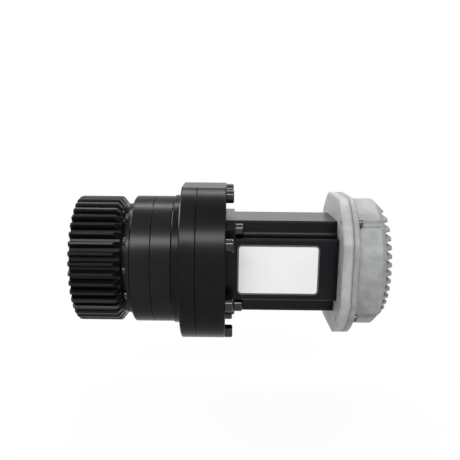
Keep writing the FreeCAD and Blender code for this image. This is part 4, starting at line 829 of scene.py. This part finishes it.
@dataclass
class Electronics:
    """The finned housing and what it holds.

    Attributes:
        palette: the materials.
        contact_count: contacts around the middle one of each socket.
        contact_circle: the radius of their circle.
        contact_radius: the radius of one contact.
        contact_hole: the radius of its hole.
        contact_height: how far it stands off the insert.
        contact_depth: how far it reaches into the insert.
        contact_bore: the depth of its hole.
        contact_sides: its number of sides.
        hole_radius: the radius of a socket's shell in the cover's hole.
        hole_depth: the length of the shell in the hole.
        collar_radius: the radius of the collar that seats on the cover.
        collar_length: the collar's length.
        thread_crest: the thread's outer radius.
        thread_root: the thread's inner radius.
        thread_pitch: the distance from one crest to the next.
        thread_turns: the number of crests.
        bore_depth: the depth of the shell's bore, which ends behind the insert's face.
        shell_sides: the shell's number of sides.
    """

    palette: Palette
    contact_count: int = 4
    contact_circle: float = 2.5 * MM
    contact_radius: float = 0.7 * MM
    contact_hole: float = 0.35 * MM
    contact_height: float = 0.2 * MM
    contact_depth: float = 1.0 * MM
    contact_bore: float = 0.7 * MM
    contact_sides: int = 20
    hole_radius: float = 6.0 * MM
    hole_depth: float = 3.0 * MM
    collar_radius: float = 7.0 * MM
    collar_length: float = 1.8 * MM
    thread_crest: float = 6.0 * MM
    thread_root: float = 5.55 * MM
    thread_pitch: float = 1.0 * MM
    thread_turns: int = 3
    bore_depth: float = 2.0 * MM
    shell_sides: int = 64

    def contact(self, at: Vector) -> bpy.types.Object:
        """Model one socket contact as the end of a slotless tube.

        Args:
            at: its centre on the insert's face.

        Returns:
            The contact.
        """
        start = at - Vector((0.0, self.contact_depth, 0.0))
        length = self.contact_depth + self.contact_height
        piece = Bench.rod("contact", start, length, self.contact_radius, self.contact_sides)
        Bench.pick_faces(piece, lambda face: face.normal.y > FACING)
        bpy.ops.mesh.inset(thickness=self.contact_radius - self.contact_hole)
        Bench.extrude(-self.contact_bore)
        Bench.done()
        return piece

    def shells(self) -> bpy.types.Object:
        """Model both sockets' threaded shells, which take the plain ones' place.

        Returns:
            The two shells as one piece.
        """
        low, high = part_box("socket_shells")
        insert_low, insert_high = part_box("socket_inserts")
        bore = (insert_high.x - insert_low.x) / 2
        centre = Vector(((low.x + high.x) / 2, low.y, high.z - self.collar_radius))
        shell = Bench.rod(
            "socket_shells_threaded", centre, self.hole_depth, self.hole_radius, self.shell_sides
        )
        Bench.pick_faces(shell, lambda face: face.normal.y > FACING)
        radius, reach = self.hole_radius, low.y + self.hole_depth
        steps = [
            (0.0, self.collar_radius),
            (self.collar_length, self.collar_radius),
            (0.0, self.thread_root),
        ]
        flank = self.thread_pitch / 2
        steps += [(flank, self.thread_crest), (flank, self.thread_root)] * self.thread_turns
        used = self.hole_depth + self.collar_length + self.thread_turns * self.thread_pitch
        steps.append((high.y - low.y - used, self.thread_root))
        for length, new_radius in steps:
            reach += length
            Bench.extrude(length)
            ratio = new_radius / radius
            middle = (centre.x, reach, centre.z)
            bpy.ops.transform.resize(value=(ratio, 1.0, ratio), center_override=middle)
            radius = new_radius
        bpy.ops.mesh.inset(thickness=self.thread_root - bore)
        Bench.extrude(-self.bore_depth)
        Bench.done()
        twin = shell.copy()
        twin.data = shell.data.copy()
        twin.data.transform(Matrix.Translation((0.0, 0.0, -2 * centre.z)))
        bpy.context.scene.collection.objects.link(twin)
        Bench.clear()
        twin.select_set(True)
        shell.select_set(True)
        bpy.context.view_layer.objects.active = shell
        bpy.ops.object.join()
        Bench.finish(shell, "housing", "plated_brass", [self.palette.get(SOCKET_NICKEL)])
        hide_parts("socket_shells")
        return shell

    def contacts(self) -> list[bpy.types.Object]:
        """Give both sockets their contacts: one is modelled and the others are its copies.

        Returns:
            The contacts.
        """
        low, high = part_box("socket_inserts")
        radius = (high.x - low.x) / 2
        centre = Vector(((low.x + high.x) / 2, high.y, 0.0))
        turns = [math.tau * k / self.contact_count for k in range(self.contact_count)]
        ways = [Vector((math.cos(turn), 0.0, math.sin(turn))) for turn in turns]
        circle = [way * self.contact_circle for way in ways]
        first = self.contact(centre)
        gold = self.palette.get(GOLD)
        made = []
        for socket, height in (("power", high.z - radius), ("signal", low.z + radius)):
            for number, offset in enumerate([Vector()] + circle):
                piece = first.copy()
                piece.data = first.data.copy()
                piece.name = "%s_contact_%d" % (socket, number + 1)
                piece.data.transform(Matrix.Translation(offset + Vector((0.0, 0.0, height))))
                bpy.context.scene.collection.objects.link(piece)
                Bench.finish(piece, "housing", "plated_brass", [gold])
                made.append(piece)
        bpy.data.objects.remove(first)
        return made

    def dress(self) -> None:
        """Give every node its finish."""
        dress = self.palette.dress
        dress(["drive_base_plate"], MILLED_ALUMINIUM)
        dress(["drive_cover"], CAST_ALUMINIUM)
        dress(["cover_screws"], PLATED_SCREW)
        dress(["base_gasket"], GASKET_GREY)
        dress(["encoder_board", "drive_board"], CIRCUIT_BOARD)
        dress(["board_standoffs"], NICKEL)
        dress(["capacitors", "socket_inserts"], BLACK_PLASTIC)


# ---------------------------------------------------------------- studio


@dataclass
class Lamp:
    """One soft lamp.

    Attributes:
        name: its name.
        place: where it stands.
        target: what it points at.
        width: its width.
        height: its height.
        power: its power in watts.
    """

    name: str
    place: Point
    target: Point
    width: float
    height: float
    power: float

    def build(self) -> bpy.types.Object:
        """Make the lamp.

        Returns:
            The lamp's object.
        """
        data = bpy.data.lights.new(self.name, "AREA")
        data.shape, data.energy = "RECTANGLE", self.power
        data.size, data.size_y = self.width, self.height
        lamp = bpy.data.objects.new(self.name, data)
        bpy.context.scene.collection.objects.link(lamp)
        lamp.location = self.place
        aim = Vector(self.target) - Vector(self.place)
        lamp.rotation_euler = aim.to_track_quat("-Z", "Y").to_euler()
        return lamp


@dataclass
class Studio:
    """The floor, the light and the camera.

    Attributes:
        aim: the point on the axis that the camera looks at.
        distance: the camera's distance from it.
        elevation: how far above the horizon the camera stands, in degrees.
        lens: the focal length in millimetres.
        sensor: the sensor's width in millimetres.
        clip: the nearest and the farthest that the camera sees.
        shift: the lens shift across and up.
        roll: the camera's roll in degrees.
        floor_drop: how far the floor lies under the part.
        floor_size: the floor's width.
        floor_grey: its brightness, from 0 to 1.
        floor_roughness: its gloss, from 0 for a mirror.
        shadow_reach: where the floor starts and stops turning plain white, from its middle.
        shadow_share: how much of the floor near the part is plain white.
        room_light: the strength of the surroundings' own light.
        lamps: the lamps.
    """

    aim: float = 29.5 * MM
    distance: float = 402.0 * MM
    elevation: float = 13.0
    lens: float = 46.0
    sensor: float = 36.0
    clip: Span = (0.01, 20.0)
    shift: Span = (0.0065, 0.0630)
    roll: float = 0.65
    floor_drop: float = 40.0 * MM
    floor_size: float = 8.0
    floor_grey: float = 0.86
    floor_roughness: float = 0.9
    shadow_reach: Span = (0.10, 0.30)
    shadow_share: float = 0.94
    room_light: float = 0.20
    lamps: list[Lamp] = field(default_factory=list)

    def camera(self) -> None:
        """Make the scene's camera."""
        data = bpy.data.cameras.new("camera")
        data.lens, data.sensor_width = self.lens, self.sensor
        data.shift_x, data.shift_y = self.shift
        data.clip_start, data.clip_end = self.clip
        camera = bpy.data.objects.new("camera", data)
        bpy.context.scene.collection.objects.link(camera)
        rise = math.radians(self.elevation)
        back = Vector((0.0, -math.cos(rise), math.sin(rise)))
        camera.location = Vector((self.aim, 0.0, 0.0)) + back * self.distance
        aimed = (-back).to_track_quat("-Z", "Y").to_matrix()
        rolled = Matrix.Rotation(math.radians(self.roll), 3, "Z")
        camera.rotation_euler = (aimed @ rolled).to_euler()
        bpy.context.scene.camera = camera

    def floor(self) -> None:
        """Make the pale floor under the part."""
        Bench.clear()
        height = CAD_BOX[0].z - self.floor_drop
        bpy.ops.mesh.primitive_plane_add(size=self.floor_size, location=(0.0, 0.0, height))
        floor = bpy.context.object
        floor.name = "floor"
        floor.data.materials.append(self.backdrop())

    def backdrop(self) -> bpy.types.Material:
        """The floor's material: white to the camera, with the part's soft shadow.

        Returns:
            The material.
        """
        material = bpy.data.materials.new("pale_floor")
        material.use_nodes = True
        sheet = NodeSheet(material.node_tree)
        shader = material.node_tree.nodes["Principled BSDF"]
        shader.inputs["Base Color"].default_value = (self.floor_grey,) * 3 + (1.0,)
        shader.inputs["Roughness"].default_value = self.floor_roughness
        place = sheet.add("TexCoord").outputs["Object"]
        away = sheet.add("VectorMath", {0: place}, operation="LENGTH").outputs["Value"]
        share = sheet.spread(sheet.between(away, *self.shadow_reach), self.shadow_share, 1.0)
        glow = sheet.add("Emission", {"Color": WHITE, "Strength": 1.0})
        factor = self.seen(sheet, share)
        mix = sheet.add("MixShader", {0: factor, 1: shader.outputs[0], 2: glow.outputs[0]})
        output = material.node_tree.nodes["Material Output"]
        material.node_tree.links.new(mix.outputs[0], output.inputs["Surface"])
        return material

    @staticmethod
    def seen(sheet: NodeSheet, share: object) -> bpy.types.NodeSocket:
        """A factor for rays that see the background straight, in gloss or through glass.

        Args:
            sheet: the nodes it is made in.
            share: its value or socket for those rays.

        Returns:
            The factor's socket.
        """
        rays = sheet.add("LightPath").outputs
        straight = sheet.maths("MAXIMUM", rays["Is Camera Ray"], rays["Is Glossy Ray"])
        any_ray = sheet.maths("MAXIMUM", straight, rays["Is Transmission Ray"])
        return sheet.maths("MULTIPLY", any_ray, share)

    def world(self) -> None:
        """Make the white surroundings."""
        world = bpy.data.worlds.new("white_room")
        bpy.context.scene.world = world
        world.use_nodes = True
        sheet = NodeSheet(world.node_tree)
        background = world.node_tree.nodes["Background"]
        background.inputs["Color"].default_value = WHITE
        strength = sheet.maths("ADD", self.room_light, self.seen(sheet, 1.0 - self.room_light))
        world.node_tree.links.new(strength, background.inputs["Strength"])

    def build(self) -> None:
        """Set up the whole studio."""
        bpy.context.scene.view_settings.view_transform = "Standard"
        self.camera()
        self.floor()
        self.world()
        for lamp in self.lamps:
            lamp.build()


STUDIO_LAMPS = [
    Lamp("front_strip", (0.04, -0.67, 0.605), (0.04, 0.0, 0.0), 1.1, 0.18, 6.9),
    Lamp("back_strip", (0.04, 0.44, 0.78), (0.04, 0.0, 0.0), 1.1, 0.13, 7.5),
    Lamp("left_strip", (-0.73, 0.40, 0.33), (0.02, 0.0, 0.0), 0.36, 0.12, 4.0),
]


def clear_start_scene() -> None:
    """Remove the cube, lamp and camera of Blender's own start scene."""
    for thing in list(bpy.context.scene.objects):
        if body_of(thing) is None and not thing.name.startswith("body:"):
            bpy.data.objects.remove(thing)


def main() -> None:
    """Build the part's look and the studio."""
    logging.basicConfig(level=logging.INFO, format="%(message)s")
    clear_start_scene()
    palette = Palette(Effects())
    gearbox, motor, electronics = Gearbox(palette), Motor(palette), Electronics(palette)
    gearbox.dress()
    motor.dress()
    motor.name_plate()
    electronics.dress()
    electronics.shells()
    electronics.contacts()
    Studio(lamps=STUDIO_LAMPS).build()


if __name__ == "__main__":
    main()
